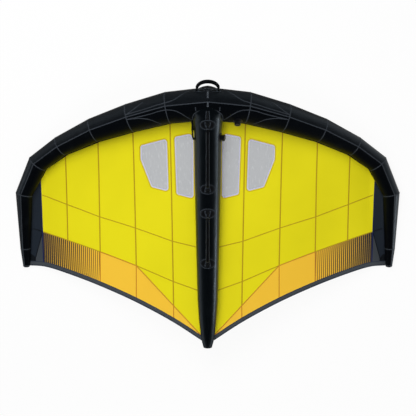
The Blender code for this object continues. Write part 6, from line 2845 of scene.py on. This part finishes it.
@dataclass
class Studio:
    """The pale floor, the soft lamps and the camera."""

    distance: float = 10.0
    tilt: float = radians(8)
    lens: float = 106.84
    ambient: float = 0.34
    paper: Pair = (0.80, 0.84)
    white_share: float = 0.92
    floor_gloss: float = 0.10
    # Painted glow that glossy rays see towards the floor's sides and on its right, standing in for a lamp
    # that lights the rails' highlights
    side_reflection_glow: float = 0.08
    right_reflection_glow: float = 0.50
    sky_low: float = 0.8
    sky_drop: float = 0.77
    sky_middle: float = 0.25
    target: Vector = field(default_factory=lambda: Vector((0.0024, AHEAD - 0.849, 0.20)))

    def white(self, bench: Bench, lit: Signal, strength: float, side: Signal) -> Signal:
        """Mix a lit shader with plain white: all of it for the camera; for glossy rays a glow, faint in the
        middle, brighter towards both sides and brightest on the right, that stands in for a lamp only
        reflections see.

        Args:
            bench: The floor's bench.
            lit: The lit shader.
            strength: How much of the white there is.
            side: The place along X.

        Returns:
            The mixed shader.
        """
        camera, gloss = bench.ray("Is Camera Ray"), bench.ray("Is Glossy Ray")
        # Painted glow: brighter towards both sides and most on the right, seen only in reflections
        shown = self.floor_gloss + abs(side).eased(0.9, 1.5) * self.side_reflection_glow
        shown = shown + side.eased(1.0, 1.6) * self.right_reflection_glow
        light = {"Color": (1.0, 1.0, 1.0), "Strength": camera + gloss * shown}
        white = bench.node("ShaderNodeEmission", {}, light)
        return bench.node("ShaderNodeMixShader", {}, {0: camera.largest(gloss) * strength, 1: lit, 2: white})

    def floor(self) -> None:
        """Lay the floor under the wing."""
        bpy.ops.mesh.primitive_plane_add(size=60.0, location=(0.0, 0.0, -0.0005))
        plane = bpy.context.object
        plane.name = "studio_floor"
        bpy.ops.object.transform_apply(location=True)
        material = bpy.data.materials.new("studio_floor_paper")
        bench = Bench(material)
        spot, side, _, _ = bench.place()
        grain = bench.speckle(spot, 3.0)
        dull, pale = ((shade, shade, shade) for shade in self.paper)
        tone = bench.mixed(dull, pale, grain)
        lit = bench.node("ShaderNodeBsdfDiffuse", {}, {"Color": tone})
        bench.node_out(self.white(bench, lit, self.white_share, side))
        plane.data.materials.append(material)

    def world(self) -> None:
        """Set the soft light that comes from all round."""
        world = bpy.data.worlds.new("studio_world")
        bpy.context.scene.world = world
        bench = Bench(world)
        camera, gloss = bench.ray("Is Camera Ray"), bench.ray("Is Glossy Ray")
        _, side, _, height = bench.place(world=True)
        sides = self.sky_middle + abs(side).eased(0.1, 0.8) * (1 - self.sky_middle)
        mirrored = (self.sky_low - height.eased(0.0, 0.65) * self.sky_drop) * sides
        lit = self.ambient + gloss * (mirrored - self.ambient)
        strength = camera + (1.0 - camera) * lit
        shader = bench.node("ShaderNodeBackground", {}, {"Color": (1.0, 1.0, 1.0), "Strength": strength})
        made = bench.tree.nodes.new("ShaderNodeOutputWorld")
        bench.tree.links.new(shader.socket, made.inputs["Surface"])

    def lamp(self, name: str, place: Colour, size: float, power: float, mirrored: bool = False) -> None:
        """Hang one large soft lamp that faces the wing; mirrored lets glossy surfaces show it.

        Args:
            name: The lamp's name.
            place: Where it hangs.
            size: Its width.
            power: Its power in watts.
            mirrored: Whether glossy surfaces show it.
        """
        data = bpy.data.lights.new(name, "AREA")
        data.shape = "DISK"
        data.size = size
        data.energy = power
        made = bpy.data.objects.new(name, data)
        made.location = place
        way = Vector((0.0, 0.0, 0.2)) - Vector(place)
        made.rotation_euler = way.to_track_quat("-Z", "Y").to_euler()
        made.visible_glossy = mirrored
        bpy.context.scene.collection.objects.link(made)

    def camera(self) -> None:
        """Stand the camera where the photograph was taken."""
        data = bpy.data.cameras.new("photo_camera")
        data.lens = self.lens
        data.sensor_width = 36.0
        made = bpy.data.objects.new("photo_camera", data)
        back = Vector((0.0, sin(self.tilt), cos(self.tilt)))
        up = Vector((0.0, cos(self.tilt), -sin(self.tilt)))
        turn = Matrix((up.cross(back), up, back)).transposed()
        made.matrix_world = Matrix.Translation(self.target + back * self.distance) @ turn.to_4x4()
        bpy.context.scene.collection.objects.link(made)
        bpy.context.scene.camera = made

    def build(self) -> None:
        """Set up the floor, the light and the camera."""
        self.floor()
        self.world()
        self.lamp("key_softbox", (-1.3, 3.3, 5.2), 4.2, 262.0)
        self.lamp("fill_softbox", (-0.4, -2.6, 5.6), 3.5, 95.0)
        self.lamp("right_strip_softbox", (5.0, -1.4, 0.8), 1.3, 34.0, mirrored=True)
        self.lamp("left_strip_softbox", (-5.0, 0.6, 0.8), 1.3, 5.0, mirrored=True)
        self.camera()
        bpy.context.scene.view_settings.view_transform = "Standard"


def keep_sizes() -> None:
    """Bring the scene's transforms up to date."""
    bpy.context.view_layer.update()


def main() -> None:
    """Build the studio, then the wing's sub-assemblies in order."""
    logging.basicConfig(level=logging.INFO, format="%(message)s")
    tube = TubeSkin()
    canopy = CanopySkin(tube)
    strut = StrutSkin(tube, canopy)
    Studio().build()
    LeadingEdge(tube).build()
    Canopy(canopy).build()
    Strut(strut).build()
    StrutHandle(strut, "front", (0.158, 0.670)).build()
    StrutHandle(strut, "rear", (0.864, 1.266)).build()
    GrabHandle(tube).build()
    Valve(tube, "inflation_valve", place=Vector((0.2353, 0.75187, 0.39109)),
          guess=(0.76, radians(150))).build()
    out = joint_axis("strut_valve_cap_turn").normalized()
    Valve(strut, "strut_valve", place=STRUT_VALVE + out * 0.006, guess=(0.264, radians(15))).build()
    LinkHose(start=Vector((-0.12206, AHEAD - 0.13819, 0.37151)),
             start_out=Vector((0.06858, -0.96378, 0.25772)),
             end=Vector((-0.10400, AHEAD - 0.27204, 0.37540)),
             end_out=Vector((-0.96067, -0.04617, 0.27384))).build()
    keep_nodes(Finishes.plastic, "hose_clip_body", "hose_clip_lever")
    keep_sizes()


if __name__ == "__main__":
    main()
